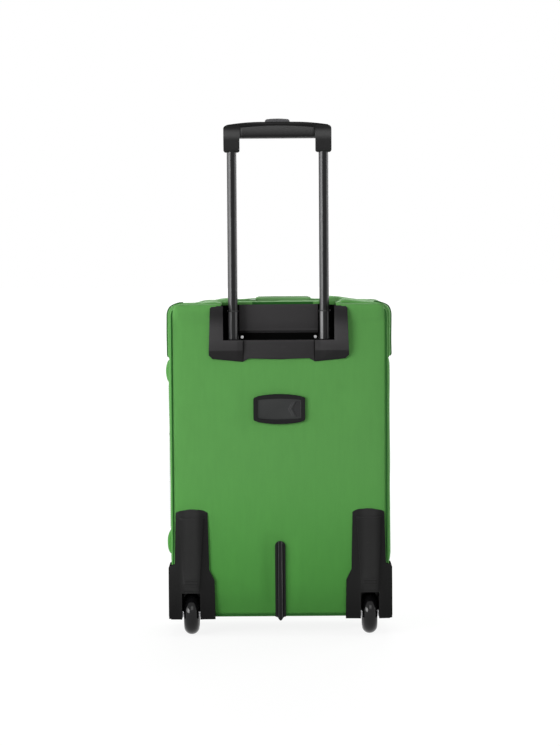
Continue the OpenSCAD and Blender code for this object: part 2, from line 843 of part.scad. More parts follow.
// a spring on the cavity's floor; the linkage and the button have a bore that slides down over it
spring_r = 1.5;
wire_r = 0.25;
spring_bore_r = spring_r + wire_r + 0.4;
spring_bore_top = button_z + 1.6;
spring_h = spring_bore_top - button_travel - 0.1 - cavity_z; // drawn at its pressed length
module button_spring() {
    turns = 4;
    steps = 14;
    sides = 8;
    n = turns * steps;
    rise = spring_h - 2 * wire_r - 0.1;
    points = [for (i = [0:n], j = [0:sides - 1])
        let (a = 360 * i / steps, b = 360 * j / sides, r = spring_r + wire_r * cos(b))
            [r * cos(a), r * sin(a), wire_r + rise * i / n + wire_r * sin(b)]];
    faces = concat(
        [for (i = [0:n - 1], j = [0:sides - 1]) let (k = (j + 1) % sides)
            [i * sides + j, i * sides + k, (i + 1) * sides + k, (i + 1) * sides + j]],
        [[for (j = [sides - 1:-1:0]) j]],
        [[for (j = [0:sides - 1]) n * sides + j]]);
    color("silver") translate([0, tube_y, cavity_z])
        polyhedron(points, [for (f = faces) [for (i = [len(f) - 1:-1:0]) f[i]]]);
}

// the grip's outline seen from behind: two legs and a crowned bar
module grip_outline() {
    crown = grip_h - grip_end_h;
    crown_r = (pow(grip_half, 2) + pow(crown, 2)) / (2 * crown);
    difference() {
        intersection() {
            translate([0, grip_top - crown_r]) circle(crown_r, $fn = 200);
            translate([-grip_half, leg_z]) square([2 * grip_half, grip_h + 1]);
        }
        translate([leg_w - grip_half, leg_z - 1]) square([2 * (grip_half - leg_w), finger_h + 1]);
    }
}

module grip() {
    color("dimgray") difference() {
        intersection() {
            upright(grip_back, grip_d) grip_outline();
            sideways(-grip_half, 2 * grip_half) translate([tube_y, leg_z]) rounded(grip_d, grip_h, 8);
        }
        // sockets, the cavity of the linkage, and the button's well
        both() translate([tube_x, tube_y, leg_z - 1]) cylinder(r = inner_r, h = socket_depth + 1);
        both() translate([tube_x, tube_y, leg_z]) cylinder(r = rod_r + 1, h = grip_end_h - 5);
        box([-tube_x - 4, tube_y - 4.2, cavity_z], [tube_x + 4, tube_y + 4.2, cavity_z + cavity_h]);
        box([-button_w / 2 - 0.3, tube_y - 7.8, grip_top - 4 - button_travel],
            [button_w / 2 + 0.3, tube_y + 7.8, grip_top + 20]);
        box([-6.3, tube_y - 3.3, button_z - 1], [6.3, tube_y + 3.3, grip_top]);
        insert_bed();
        both() translate([tube_x, tube_y, leg_z + 6]) rotate([-90, 0, 0]) cylinder(r = 1.5, h = grip_d);
    }
}

insert_t = 1.6;
insert_half = grip_half - leg_w - 1;
insert_low = leg_z + finger_h + 2;
insert_high = grip_top - 7;
grip_back = tube_y - grip_d / 2;
// the shallow bed of the ribbed insert on the back of the bar
module insert_bed() {
    box([-insert_half, grip_back - 1, insert_low], [insert_half, grip_back + insert_t, insert_high]);
}

module grip_insert() {
    color("black") {
        box([-insert_half, grip_back + insert_t - 0.9, insert_low], [insert_half, grip_back + insert_t, insert_high]);
        for (z = [insert_low + rib_t / 2:2 * rib_t:insert_high - rib_t])
            box([-insert_half + 1, grip_back + 0.2, z], [insert_half - 1, grip_back + insert_t - 0.8, z + rib_t]);
    }
}

module grip_pins() {
    color("silver") both() translate([tube_x, tube_y + inner_r, leg_z + 6]) rotate([-90, 0, 0])
        cylinder(r = 1.5, h = grip_d / 2 - inner_r - 0.3);
}

// ---- wheels ----

module about_axle() {
    translate([wheel_x, wheel_y, wheel_r]) rotate([0, 90, 0]) children();
}

crown_r = wheel_w * 0.525;
module tyre() {
    color("black") about_axle() rotate_extrude($fn = 96) intersection() {
        translate([wheel_r - crown_r, 0]) circle(crown_r);
        translate([hub_d / 2, -wheel_w / 2]) square([wheel_r, wheel_w]);
    }
}

hub_w = wheel_w - 2;
module hub() {
    color("darkgray") about_axle() difference() {
        rotate_extrude($fn = 96) difference() {
            translate([bearing_d / 2 - 2.5, -hub_w / 2]) square([hub_d / 2 - bearing_d / 2 + 2.5, hub_w]);
            for (s = [-1, 1]) {
                translate([0, s * hub_w / 2 - bearing_w]) square([bearing_d / 2, 2 * bearing_w]);
                translate([bearing_d / 2 + 2.5, s * hub_w / 2 - 6]) square([hub_d / 2 - bearing_d / 2 - 5, 12]);
            }
        }
    }
}

module bearings() {
    bore = axle_d / 2 + run_fit;
    color("silver") about_axle() for (s = [-1, 0, 1]) rotate_extrude() {
        if (s == 0) translate([bore, bearing_w - hub_w / 2 + run_fit]) square([2, hub_w - 2 * (bearing_w + run_fit)]);
        else translate([bore, s > 0 ? hub_w / 2 - bearing_w : -hub_w / 2]) square([bearing_d / 2 - bore, bearing_w]);
    }
}

head_t = 4;
cheek = well_w / 2 + shell_t;
module axles() {
    color("silver") both() about_axle() {
        translate([0, 0, -cheek - head_t]) cylinder(r = axle_d / 2, h = 2 * (cheek + head_t));
        for (s = [-1, 1]) mirror([0, 0, s > 0 ? 1 : 0]) {
            translate([0, 0, hub_w / 2 + 0.1]) cylinder(r = axle_d / 2 + 2.5, h = (well_w - hub_w) / 2 - 0.1);
            translate([0, 0, cheek]) cylinder(r = axle_d / 2 + 2.5, h = head_t);
        }
    }
}

// ---- wheel housings: the right one is drawn ----

arch_rise = 8; // height of the rounded top over its corners
module housing_outline(inset) {
    arch_r = (pow(25.5, 2) + pow(arch_rise, 2)) / (2 * arch_rise);
    translate([wheel_x, 0]) {
        polygon([[inset - 27.5, housing_top - arch_rise], [inset - 29.5, shoulder_z - 4],
            [inset - housing_in + 1, shoulder_z - 21], [inset - housing_in, housing_foot],
            [housing_out - inset - 4, housing_foot], [housing_out - inset, housing_foot + 5],
            [housing_out - inset, shoulder_z], [housing_out - inset - 2, shoulder_z + 3], [26 - inset, shoulder_z + 6],
            [24 - inset, housing_top - arch_rise]]);
        intersection() {
            translate([-1.75, housing_top - arch_r - inset]) circle(arch_r, $fn = 120);
            translate([inset - 27.5, housing_top - arch_rise - eps]) square([51.5 - 2 * inset, arch_rise + 1]);
        }
    }
}

// how far the housing stands out behind the case, seen from the side
module housing_profile(inset) {
    polygon([[y_back + 1, housing_top + 1], [y_back - housing_top_proud + inset, housing_top + 1],
        [y_back - housing_proud + 2 + inset, shoulder_z],
        [y_back - housing_proud + inset, shoulder_z - 25], [y_back - housing_proud + inset, housing_foot - 1],
        [y_back + 1, housing_foot - 1]]);
}

tongue_t = 2.2;
// the raised tongue over the wheel, narrower at its foot
module tongue() {
    low = wheel_d + well_room + 3;
    intersection() {
        upright(y_back - 30, 30) translate([wheel_x, 0])
            polygon([[-21, housing_top - 14], [19, housing_top - 14], [13, low], [-13, low]]);
        translate([0, -tongue_t, 0]) sideways(wheel_x - 40, 80) housing_profile(0);
    }
}

module wheel_housing() {
    front = y_back + housing_d;
    well_top = wheel_d + well_room - 1;
    color("dimgray") difference() {
        union() {
            difference() {
                intersection() {
                    upright(y_back - 20, 20) housing_outline(0);
                    sideways(wheel_x - 60, 120) housing_profile(0);
                }
                intersection() {
                    upright(y_back - 20, 21) housing_outline(shell_t);
                    sideways(wheel_x - 60, 120) housing_profile(shell_t);
                }
            }
            tongue();
            for (i = [0:2]) box([wheel_x - 10, y_back - housing_proud - tongue_t - 0.8, wheel_d + 14 + 4.5 * i],
                [wheel_x + 10, y_back - housing_proud + 3, wheel_d + 15.6 + 4.5 * i]);
            // the box that fills the corner of the case
            box([well_box_x, y_back - eps, housing_foot], [side_x, front, well_box_top]);
            // cheeks reach back to the shell
            box([wheel_x - cheek, y_back - housing_proud + 1, housing_foot], [wheel_x + cheek, y_back, well_box_top]);
            // wraps on the side and under the bottom
            sideways(side_x, wheel_x + housing_out - side_x) polygon([[y_back - 4, housing_foot],
                [front + 6, housing_foot], [front + 6, shoulder_z - 24], [front - 8, shoulder_z],
                [y_back - 4, shoulder_z]]);
            box([well_box_x - 5, y_back - eps, housing_foot], [side_x + eps, front + 6, case_lift]);
        }
        // the wheel's well
        box([wheel_x - well_w / 2, y_back - 30, -1], [wheel_x + well_w / 2, wheel_y, well_top]);
        intersection() {
            about_axle() translate([0, 0, -well_w / 2]) cylinder(r = wheel_r + well_room, h = well_w, $fn = 96);
            box([wheel_x - 40, wheel_y - 1, -1], [wheel_x + 40, front, well_top]);
        }
        box([wheel_x - well_w / 2, wheel_y - 1, -1], [wheel_x + well_w / 2, wheel_y + wheel_r + well_room, wheel_r]);
        // open pockets beside the cheeks, for the bolt's head and nut
        for (x = [[well_box_x + shell_t, wheel_x - cheek], [wheel_x + cheek, side_x - eps]])
            box([x[0], y_back - eps, -1], [x[1], front - shell_t, well_box_top - shell_t]);
        about_axle() translate([0, 0, -cheek - 1]) cylinder(r = axle_d / 2, h = 2 * cheek + 2);
    }
}

// ---- name tag ----

// an outline with a shallow arch above and below
module arched(w, h, rise) {
    r = (pow(w / 2, 2) + pow(rise, 2)) / (2 * rise);
    intersection() {
        translate([-w / 2, -h / 2]) square([w, h]);
        translate([0, h / 2 - r]) circle(r, $fn = 180);
        translate([0, r - h / 2]) circle(r, $fn = 180);
    }
}

tag_back_t = 1.1; // wall behind the card's slot
card_y = y_back - tag_back_t - soft_gap - card_t;
slot_half_h = window_h / 2 + 0.8;
slot_end = window_w / 2 + 2;
module tag_frame() {
    color("black") difference() {
        upright(y_back - tag_t, tag_t) translate([0, tag_z]) arched(tag_w, tag_h, 4.9);
        upright(y_back - tag_t - 1, tag_t + 1 - tag_back_t) translate([0, tag_z]) arched(window_w, window_h, 2);
        box([-slot_end - soft_gap, card_y - soft_gap, tag_z - slot_half_h],
            [tag_w, y_back - tag_back_t, tag_z + slot_half_h]);
    }
}

module tag_card() {
    half = slot_half_h - soft_gap;
    color("dimgray") difference() {
        box([-slot_end, card_y, tag_z - half], [tag_w / 2 - 1, card_y + card_t, tag_z + half]);
        // a pointed finger recess at the right-hand end
        upright(card_y - 1, 1 + card_t * 0.65) translate([window_w / 2, tag_z])
            polygon([[-1, -12.5], [-8, -12.5], [-14.7, 0], [-8, 12.5], [-1, 12.5]]);
    }
}

// ---- the case ----

back_panel();
back_board();
body_gusset();
top_panel();
back_piping();
rim_wire();
body_lining();
packing_straps();
strap_buckle();
zip_body();
lid_hinge();
top_handle();
side_handle();
handle_anchors();
upper_slider();
upper_pull();
lower_slider();
lower_pull();
zip_lid();
lid_gusset();
lid_panel();
front_piping();
lid_lining();
lower_pocket();
upper_pocket();
pocket_zips();
low_pocket_slider();
low_pocket_pull();
top_pocket_slider();
top_pocket_pull();
front_feet();
case_screws();
trolley_housing();
outer_tubes();
tube_bracket();
tube_bushings();
mid_tubes();
mid_collars();
mid_plugs();
inner_tubes();
inner_plugs();
grip();
grip_insert();
grip_pins();
button_spring();
release_button();
release_linkage();
lock_pins();
mirror([1, 0, 0]) wheel_housing();  // wheel_housing_left
wheel_housing();  // wheel_housing_right
mirror([1, 0, 0]) tyre();  // tyre_left
mirror([1, 0, 0]) hub();  // hub_left
mirror([1, 0, 0]) bearings();  // bearings_left
tyre();  // tyre_right
hub();  // hub_right
bearings();  // bearings_right
axles();
tag_frame();
tag_card();
skid_bar();
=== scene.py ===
import json
import math

import bmesh
import bpy
from mathutils import Matrix, Vector, noise

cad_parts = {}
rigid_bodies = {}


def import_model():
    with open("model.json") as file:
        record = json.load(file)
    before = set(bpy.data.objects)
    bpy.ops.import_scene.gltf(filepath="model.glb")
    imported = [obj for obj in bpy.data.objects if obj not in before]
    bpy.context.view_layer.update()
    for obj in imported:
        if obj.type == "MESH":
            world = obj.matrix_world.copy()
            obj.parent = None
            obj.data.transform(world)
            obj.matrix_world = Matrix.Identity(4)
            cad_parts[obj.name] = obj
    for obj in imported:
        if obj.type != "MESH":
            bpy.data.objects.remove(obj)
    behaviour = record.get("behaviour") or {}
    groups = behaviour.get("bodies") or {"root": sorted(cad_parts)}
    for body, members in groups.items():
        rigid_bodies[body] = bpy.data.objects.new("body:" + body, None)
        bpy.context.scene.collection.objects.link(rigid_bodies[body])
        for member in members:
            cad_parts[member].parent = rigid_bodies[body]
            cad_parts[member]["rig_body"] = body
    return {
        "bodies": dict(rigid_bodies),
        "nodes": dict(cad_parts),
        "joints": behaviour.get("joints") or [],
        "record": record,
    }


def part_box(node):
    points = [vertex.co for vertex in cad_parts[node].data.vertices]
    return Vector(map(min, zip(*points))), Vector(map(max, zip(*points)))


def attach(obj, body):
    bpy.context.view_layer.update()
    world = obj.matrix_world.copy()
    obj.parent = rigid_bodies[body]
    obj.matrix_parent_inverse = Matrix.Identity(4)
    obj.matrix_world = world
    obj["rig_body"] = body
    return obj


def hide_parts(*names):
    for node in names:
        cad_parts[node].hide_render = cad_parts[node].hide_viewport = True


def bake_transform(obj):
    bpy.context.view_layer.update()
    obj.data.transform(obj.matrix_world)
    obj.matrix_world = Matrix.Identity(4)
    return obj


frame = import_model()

# a soft two-wheel cabin case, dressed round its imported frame; metres, back face towards -Y
scene = bpy.context.scene
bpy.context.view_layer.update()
nodes = frame["nodes"]

bodyLow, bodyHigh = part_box("body_gusset")
lidLow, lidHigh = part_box("lid_gusset")
case = {
    "halfWidth": bodyHigh.x,
    "low": bodyLow.z,
    "high": bodyHigh.z,
    "corner": 0.020,
    "back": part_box("back_panel")[0].y,
    "gussetBack": bodyLow.y,
    "gussetFront": bodyHigh.y,
    "lidBack": lidLow.y,
    "lidFront": lidHigh.y,
    "front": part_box("lid_panel")[1].y,
    "seam": (bodyHigh.y + lidLow.y) / 2,  # where the two rows of teeth meet
    "middle": Vector((0, 0, (bodyLow.z + bodyHigh.z) / 2)),
}
handleLow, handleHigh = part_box("top_handle")
handleY = (handleLow.y + handleHigh.y) / 2
tubeX = 0.0735  # middle of a trolley tube
webWide = 0.0285  # width of the carry handles' straps
pocketZips = {"lowerPocket": 0.290, "upperPocket": 0.458}  # heights of the pockets' zips
recess = {"halfWidth": 0.0915, "floor": 0.4755, "front": case["back"] + 0.0345, "rim": case["back"] + 0.0350}
wheelBox = {"inner": 0.111, "middle": 0.144, "front": case["back"] + 0.066, "top": 0.098}
play = 0.0006  # room left round the holes in the cloth
beyond = {"back": -0.3, "side": 0.3, "top": 0.7}  # well outside the case, where the boxes that cut holes start or end
upward, frontward = Vector((0, 0, 1)), Vector((0, 1, 0))
print("stage: frame loaded, case", round(case["halfWidth"], 4), round(case["back"], 4), round(case["front"], 4))

view = {"distance": 3.5, "height": 0.640, "aside": 0.0031, "tiltDown": 3.52, "roll": 0.40, "lens": 105.54}
cameraData = bpy.data.cameras.new("camera")
cameraData.lens = view["lens"]
cameraData.clip_end = 60
camera = bpy.data.objects.new("camera", cameraData)
camera.location = (view["aside"], case["back"] - view["distance"], view["height"])
camera.rotation_euler = (math.radians(90 - view["tiltDown"]), math.radians(view["roll"]), 0)
scene.collection.objects.link(camera)
scene.camera = camera
scene.view_settings.view_transform = "Standard"


class Wire:
    # one output of a shader node; sums on it add Math nodes
    def __init__(self, tree, socket=None):
        self.tree = tree
        self.socket = socket

    def node(self, kind, settings=None, inputs=None, output=0):
        made = self.tree.nodes.new(kind)
        for name, value in (settings or {}).items():
            if name == "stops":
                for index, (place, colour) in enumerate(value):
                    known = made.color_ramp.elements
                    stop = known[index] if index < len(known) else known.new(place)
                    stop.position, stop.color = place, colour
            else:
                setattr(made, name, value)
        for name, value in (inputs or {}).items():
            if isinstance(value, Wire):
                self.tree.links.new(value.socket, made.inputs[name])
            else:
                made.inputs[name].default_value = value
        return Wire(self.tree, made.outputs[output])

    def other(self, output):
        return Wire(self.tree, self.socket.node.outputs[output])

    def maths(self, operation, *values):
        return self.node("ShaderNodeMath", {"operation": operation}, dict(enumerate(values)))

    def size(self):
        return self.maths("ABSOLUTE", self)

    def smooth(self, low, high, start=0.0, end=1.0):
        return self.node("ShaderNodeMapRange", {"interpolation_type": "SMOOTHSTEP"},
                         {"Value": self, "From Min": low, "From Max": high, "To Min": start, "To Max": end})

    def mixed(self, first, second):
        return self.node("ShaderNodeMix", {"data_type": "RGBA"}, {0: self, 6: first, 7: second}, 2)

    def dyed(self, tone):
        # the tone, lighter or darker by this value
        grey = self.node("ShaderNodeCombineColor", None, {0: self, 1: self, 2: self})
        settings = {"data_type": "RGBA", "blend_type": "MULTIPLY"}
        return self.node("ShaderNodeMix", settings, {0: 1.0, 6: tone, 7: grey}, 2)

    def place(self, coordinate="Object"):
        return self.node("ShaderNodeTexCoord", output=coordinate)

    def axes(self, coordinate="Object"):
        spot = self.node("ShaderNodeSeparateXYZ", None, {0: self.place(coordinate)})
        return spot, spot.other("Y"), spot.other("Z")

    def noise(self, scale, detail=2.0, roughness=0.5, stretch=(1, 1, 1)):
        spot = self.node("ShaderNodeMapping", None, {"Vector": self.place(), "Scale": stretch})
        return self.node("ShaderNodeTexNoise", None,
                         {"Vector": spot, "Scale": scale, "Detail": detail, "Roughness": roughness})

    def bump(self, height, depth, strength=1.0):
        return self.node("ShaderNodeBump", None, {"Height": height, "Distance": depth, "Strength": strength})


for sign, operation in (("add", "ADD"), ("sub", "SUBTRACT"), ("mul", "MULTIPLY")):
    setattr(Wire, "__" + sign + "__", lambda self, value, kind=operation: self.maths(kind, self, value))
    setattr(Wire, "__r" + sign + "__", lambda self, value, kind=operation: self.maths(kind, value, self))


def finish(name, constants, paint):
    made = bpy.data.materials.new(name)
    made.use_nodes = True
    tree = made.node_tree
    shader = tree.nodes["Principled BSDF"]
    for socket, value in constants.items():
        shader.inputs[socket].default_value = value
    for socket, wire in paint(Wire(tree)).items():
        tree.links.new(wire.socket, shader.inputs[socket])
    return made


def colour(red, green, blue):
    # a colour as a picture editor gives it, from 0 to 255, made linear
    parts = (red / 255, green / 255, blue / 255)
    linear = [part / 12.92 if part <= 0.04045 else ((part + 0.055) / 1.055) ** 2.4 for part in parts]
    return (*linear, 1)


def shaded(tone, share):
    return (*[c * share for c in tone[:3]], 1)


light = {
    "ambient": 0.17,
    "boxes": {  # degrees aside and up as the camera sees them, distance, width, height, brightness
        "wideLeft": (-46, 8, 2.3, 1.3, 0.7, 12.1),
        "edgeLeft": (-80, 8, 2.3, 1.1, 0.7, 4.6),
        "narrowRight": (84, 8, 2.5, 0.45, 0.7, 9.0),
        "edgeRight": (128, 14, 2.5, 1.2, 1.2, 5.0),
        "front": (10, 30, 3.0, 1.8, 1.1, 2.6),
        "top": (0, 84, 2.2, 1.6, 1.2, 1.4),
        "rear": (176, 28, 2.6, 1.6, 1.4, 7.0),
    },
}
target = Vector((0, 0, 0.42))
for lampName, (aside, up, far, wide, tall, bright) in light["boxes"].items():
    lampData = bpy.data.lights.new(lampName, "AREA")
    lampData.shape = "RECTANGLE"
    lampData.size, lampData.size_y, lampData.energy = wide, tall, bright * math.pi * wide * tall
    lamp = bpy.data.objects.new(lampName, lampData)
    aside, up = math.radians(aside), math.radians(up)
    direction = Vector((math.sin(aside) * math.cos(up), -math.cos(aside) * math.cos(up), math.sin(up)))
    lamp.location = target + far * direction
    lamp.rotation_euler = direction.to_track_quat("Z", "Y").to_euler()
    scene.collection.objects.link(lamp)


def seenWhite(start):
    # 1 where the camera, a reflection or a clear piece looks at the surroundings
    path = start.node("ShaderNodeLightPath", output="Is Camera Ray")
    return path.maths("MAXIMUM", path.maths("MAXIMUM", path, path.other("Is Glossy Ray")),
                      path.other("Is Transmission Ray"))


world = bpy.data.worlds.new("studio")
scene.world = world
world.use_nodes = True
world.node_tree.nodes.clear()
air = Wire(world.node_tree)
room = air.node("ShaderNodeBackground", None, {"Color": (1, 1, 1, 1), "Strength": light["ambient"]})
white = air.node("ShaderNodeBackground", None, {"Color": (1, 1, 1, 1), "Strength": 1.0})
both = air.node("ShaderNodeMixShader", None, {0: seenWhite(air), 1: room, 2: white})
closing = world.node_tree.nodes.new("ShaderNodeOutputWorld")
world.node_tree.links.new(both.socket, closing.inputs[0])

floorSheet = {"half": 25, "tone": 0.62, "share": 0.78, "glow": 1.13, "fadeFrom": 0.7, "fadeTo": 2.2}
floorData = bpy.data.meshes.new("floor")
floorMesh = bmesh.new()
bmesh.ops.create_grid(floorMesh, x_segments=1, y_segments=1, size=floorSheet["half"])
floorMesh.to_mesh(floorData)
floorMesh.free()
floor = bpy.data.objects.new("floor", floorData)
scene.collection.objects.link(floor)
floorFinish = bpy.data.materials.new("floorFinish")
floorFinish.use_nodes = True
floorTree = floorFinish.node_tree
floorTree.nodes.clear()
ground = Wire(floorTree)
tone = floorSheet["tone"]
paper = ground.node("ShaderNodeBsdfDiffuse", None, {"Color": (tone, tone, tone, 1)})
glow = ground.node("ShaderNodeEmission", None, {"Color": (1, 1, 1, 1), "Strength": floorSheet["glow"]})
away = ground.node("ShaderNodeVectorMath", {"operation": "LENGTH"}, {0: ground.place()}, "Value")
share = seenWhite(ground) * away.smooth(floorSheet["fadeFrom"], floorSheet["fadeTo"], floorSheet["share"], 1.0)
shown = ground.node("ShaderNodeMixShader", None, {0: share, 1: paper, 2: glow})
floorTree.links.new(shown.socket, floorTree.nodes.new("ShaderNodeOutputMaterial").inputs[0])
floorData.materials.append(floorFinish)
print("stage: camera, light and floor")


dull = "Specular IOR Level"
tones = {
    "green": colour(88, 152, 75),
    "shadedFootGreen": colour(77, 153, 63),
    "highlitPadGreen": colour(122, 166, 112),
    "darkGreen": colour(28, 88, 26),
    "grey": colour(150, 152, 153),
    "black": colour(30, 30, 31),
}


def woven(tone, pitch, depth=0.00022, mottle=0.05, dusty=0.0, foot=None):
    # plain weave: two sets of threads that pass over each other, from the piece's own map in metres
    def paint(start):
        across, along = [way * (math.pi / pitch) for way in start.axes("UV")[:2]]
        warp, weft = across.maths("SINE", across), along.maths("SINE", along)
        over = (warp * weft).smooth(-0.35, 0.35)
        height = over.maths("MAXIMUM", over * warp.size(), (1 - over) * weft.size())
        fade = start.noise(9, 3, 0.55)
        slub = start.noise(160, 2, 0.6, (1, 1, 0.12))
        lit = height * 0.22 + slub * 0.10 + fade * (2 * mottle) + (0.84 - mottle)
        # painted shade: the cloth is painted darker towards its bottom and turns a deeper green there, where the light
        # falls off low down
        if dusty:
            up = start.axes()[2]
            lit = lit * up.smooth(-0.02, 0.25, 1 - dusty, 1.0) * up.smooth(0.03, 0.10, 1 - 0.4 * dusty, 1.0)
        body = lit.dyed(up.smooth(0.02, 0.32).mixed(foot, tone) if dusty else tone)
        return {"Base Color": body, "Roughness": 0.80 + 0.12 * fade,
                "Normal": start.bump(height + slub * 0.4, depth, 0.7)}
    return paint


def clothFinish(name, tone, pitch, sheen=0.25, **more):
    constants = {dull: 0.25, "Sheen Weight": sheen, "Sheen Roughness": 0.45, "Sheen Tint": (0.8, 1.0, 0.75, 1)}
    return finish(name, constants, woven(tone, pitch, **more))


def moulded(tone, grain=0.00006, rough=0.42, scuffs=0.25, paintedLight=None):
    # fine spark-eroded grain with soft flow marks and a few scratches from rubbing; the function given for painted
    # light and shade says where it is paler or darker
    def paint(start):
        speck = start.noise(1900, 2, 0.6)
        flow = start.noise(14, 3, 0.5)
        rub = start.noise(60, 4, 0.7, (1, 1, 7)).smooth(0.60, 0.74)
        shade = (rub * scuffs).mixed(tone, shaded(tone, 2.2))
        level = flow * 0.16 + 0.92
        if paintedLight:
            level = level * paintedLight(*start.axes())
        return {"Base Color": level.dyed(shade), "Roughness": rough + 0.10 * (flow - 0.5) + 0.16 * rub,
                "Normal": start.bump(speck * 0.8 + rub * 0.15, grain, 0.8)}
    return paint


def housingPaintedShade(x, y, z):
    # painted light and shade: the frames are painted palest across their middle and darkest under the fabric's edge,
    # the lobes painted dark on their lower slope, which faces down
    frame = x.size().smooth(0.064, 0.069)
    lobe = x.size().smooth(0.0565, 0.0585) * z.smooth(0.4600, 0.4630, 1.0, 0.0)
    upper = z.smooth(0.492, 0.522, 1.30, 0.42) * z.smooth(0.4635, 0.484, 0.80, 1.0) * frame
    ledge = z.smooth(0.4935, 0.4960, 1.25, 1.0) * z.smooth(0.472, 0.486, 0.74, 1.0)
    middle = z.smooth(0.486, 0.512, 0.92, 1.10) * ledge * (1 - frame)
    return (upper + middle) * (1 - 0.55 * lobe)


def wheelBoxPaintedShade(x, y, z):
    # painted light and shade: palest down the middle of the tongue, darker on its flanks and low down
    away = (x.size() - wheelBox["middle"]).size()
    return away.smooth(0.006, 0.019, 1.25, 0.58) * z.smooth(0.030, 0.085, 0.75, 1.0)


def gripPaintedSheen(x, y, z):
    # painted sheen and shade: a pale band across the middle of its height, where the hand closes round it, and painted
    # shade that leaves it black along the top
    band = z.smooth(0.796, 0.806, 0.0, 1.0) * z.smooth(0.808, 0.816, 1.0, 0.0)
    return z.smooth(0.811, 0.819, 1.0, 0.20) + band * 2.2


def insertPaintedShade(x, y, z):
    # painted light and shade: the insert's skin is painted paler high up and darker low down, as light falls on its
    # barrel
    return z.smooth(0.802, 0.815, 0.35, 2.2)


def drawn(tone, rough, depth=0.00002, paintedStreak=None):
    # drawn tube: long fine lines along Z, with faint hand marks; a tube given a streak colour is painted with two pale
    # streaks down its sides, standing in for the lamps' reflections
    def paint(start):
        lines = start.noise(900, 2, 0.6, (1, 1, 0.01))
        marks = start.noise(22, 3, 0.6)
        shade = (marks * 0.35).mixed(tone, shaded(tone, 1.35))
        # painted highlight: two pale streaks, the left one fuller, where the lamps would be reflected on the round tube
        if paintedStreak:
            x = start.axes()[0]
            off = x - x.smooth(-0.001, 0.001, -tubeX, tubeX)
            left = off.smooth(-0.0076, -0.0058) * off.smooth(-0.0036, -0.0014, 1.0, 0.0)
            right = off.smooth(0.0030, 0.0048) * off.smooth(0.0062, 0.0078, 1.0, 0.0)
            shade = (left + right * 0.55).mixed(shade, paintedStreak)
        return {"Base Color": shade, "Roughness": rough + 0.05 * marks + 0.03 * lines,
                "Normal": start.bump(lines, depth, 0.6)}
    return paint


def rubbery(tone):
    def paint(start):
        speck = start.noise(700, 3, 0.6)
        dust = start.noise(35, 3, 0.6).smooth(0.45, 0.75)
        shade = dust.mixed(tone, shaded(tone, 1.7))
        return {"Base Color": shade, "Roughness": 0.12 + 0.14 * dust, "Normal": start.bump(speck, 0.00004, 0.6)}
    return paint


looks = {
    # the shell cloth carries painted shade: darker and deeper green towards its bottom
    "shell": clothFinish("shellWeave", tones["green"], 0.00062, dusty=0.24, foot=tones["shadedFootGreen"]),
    # painted highlight: the handle's pad is painted a paler, greyer green, for the light on its upward face
    "light": clothFinish("strapWeave", tones["highlitPadGreen"], 0.00085, mottle=0.03),
    "piping": clothFinish("pipingBraid", tones["darkGreen"], 0.0007, sheen=0.1, mottle=0.08),
    "tape": clothFinish("zipTape", tones["darkGreen"], 0.0006, sheen=0.1),
    "lining": clothFinish("liningTwill", tones["grey"], 0.00045, sheen=0.35, depth=0.0001),
    "webbing": clothFinish("blackWebbing", tones["black"], 0.0016, sheen=0.1, depth=0.0004),
}
for look, name, constants, paint in (
        ("board", "fibreBoard", {dull: 0.3}, moulded(colour(58, 56, 54), 0.0002, 0.7)),
        ("moulding", "grainedMoulding", {dull: 0.12}, moulded(colour(46, 46, 47))),
        ("housing", "housingMoulding", {dull: 0.09}, moulded(colour(52, 51, 52), paintedLight=housingPaintedShade)),
        ("wheelBox", "wheelBoxMoulding", {dull: 0.07}, moulded(colour(37, 37, 37), rough=0.38, paintedLight=wheelBoxPaintedShade)),
        ("grip", "gripMoulding", {dull: 0.10}, moulded(colour(36, 36, 36), rough=0.34, paintedLight=gripPaintedSheen)),
        ("insert", "insertRubber", {dull: 0.14}, moulded(colour(40, 40, 40), 0.00004, 0.45, 0.1, paintedLight=insertPaintedShade)),
        ("gloss", "smoothMoulding", {dull: 0.16}, moulded(colour(18, 18, 19), 0.00002, 0.20, 0.15)),
        ("card", "cardMoulding", {dull: 0.15}, moulded(colour(52, 53, 53), 0.00003, 0.34, 0.1)),
        ("button", "buttonMoulding", {dull: 0.25}, moulded(colour(74, 74, 76), 0.00002, 0.22, 0.1)),
        # painted shade: a near-black matt finish for faces where shade falls
        ("hollow", "paintedShadeBlack", {dull: 0.0}, moulded(colour(10, 10, 10), rough=0.7)),
        ("innerTube", "innerTube", {dull: 0.25}, drawn(colour(3, 3, 4), 0.24, paintedStreak=colour(80, 80, 81))),
        ("midTube", "midTube", {dull: 0.25}, drawn(colour(4, 4, 5), 0.24, paintedStreak=colour(120, 120, 121))),
        ("plainTube", "plainTube", {"Metallic": 1.0}, drawn(colour(205, 206, 208), 0.26)),
        ("steel", "zincSteel", {"Metallic": 1.0}, drawn(colour(196, 196, 198), 0.24)),
        ("zipMetal", "blackenedZip", {"Metallic": 0.9}, drawn(colour(46, 46, 48), 0.34)),
        ("tyre", "tyreRubber", {dull: 0.26, "Coat Roughness": 0.08}, rubbery(colour(14, 14, 15))),
        ("hub", "hubNylon", {dull: 0.45}, moulded(colour(52, 53, 55), 0.00005, 0.38)),
        ("thread", "threadFinish", {dull: 0.3, "Sheen Weight": 0.2}, rubbery(colour(40, 104, 36)))):
    looks[look] = finish(name, constants, paint)
print("stage: finishes", len(looks))


def smoothStep(low, high, value):
    # 0 below low, 1 above high, and a soft rise between them
    share = min(1.0, max(0.0, (value - low) / (high - low)))
    return share * share * (3 - 2 * share)


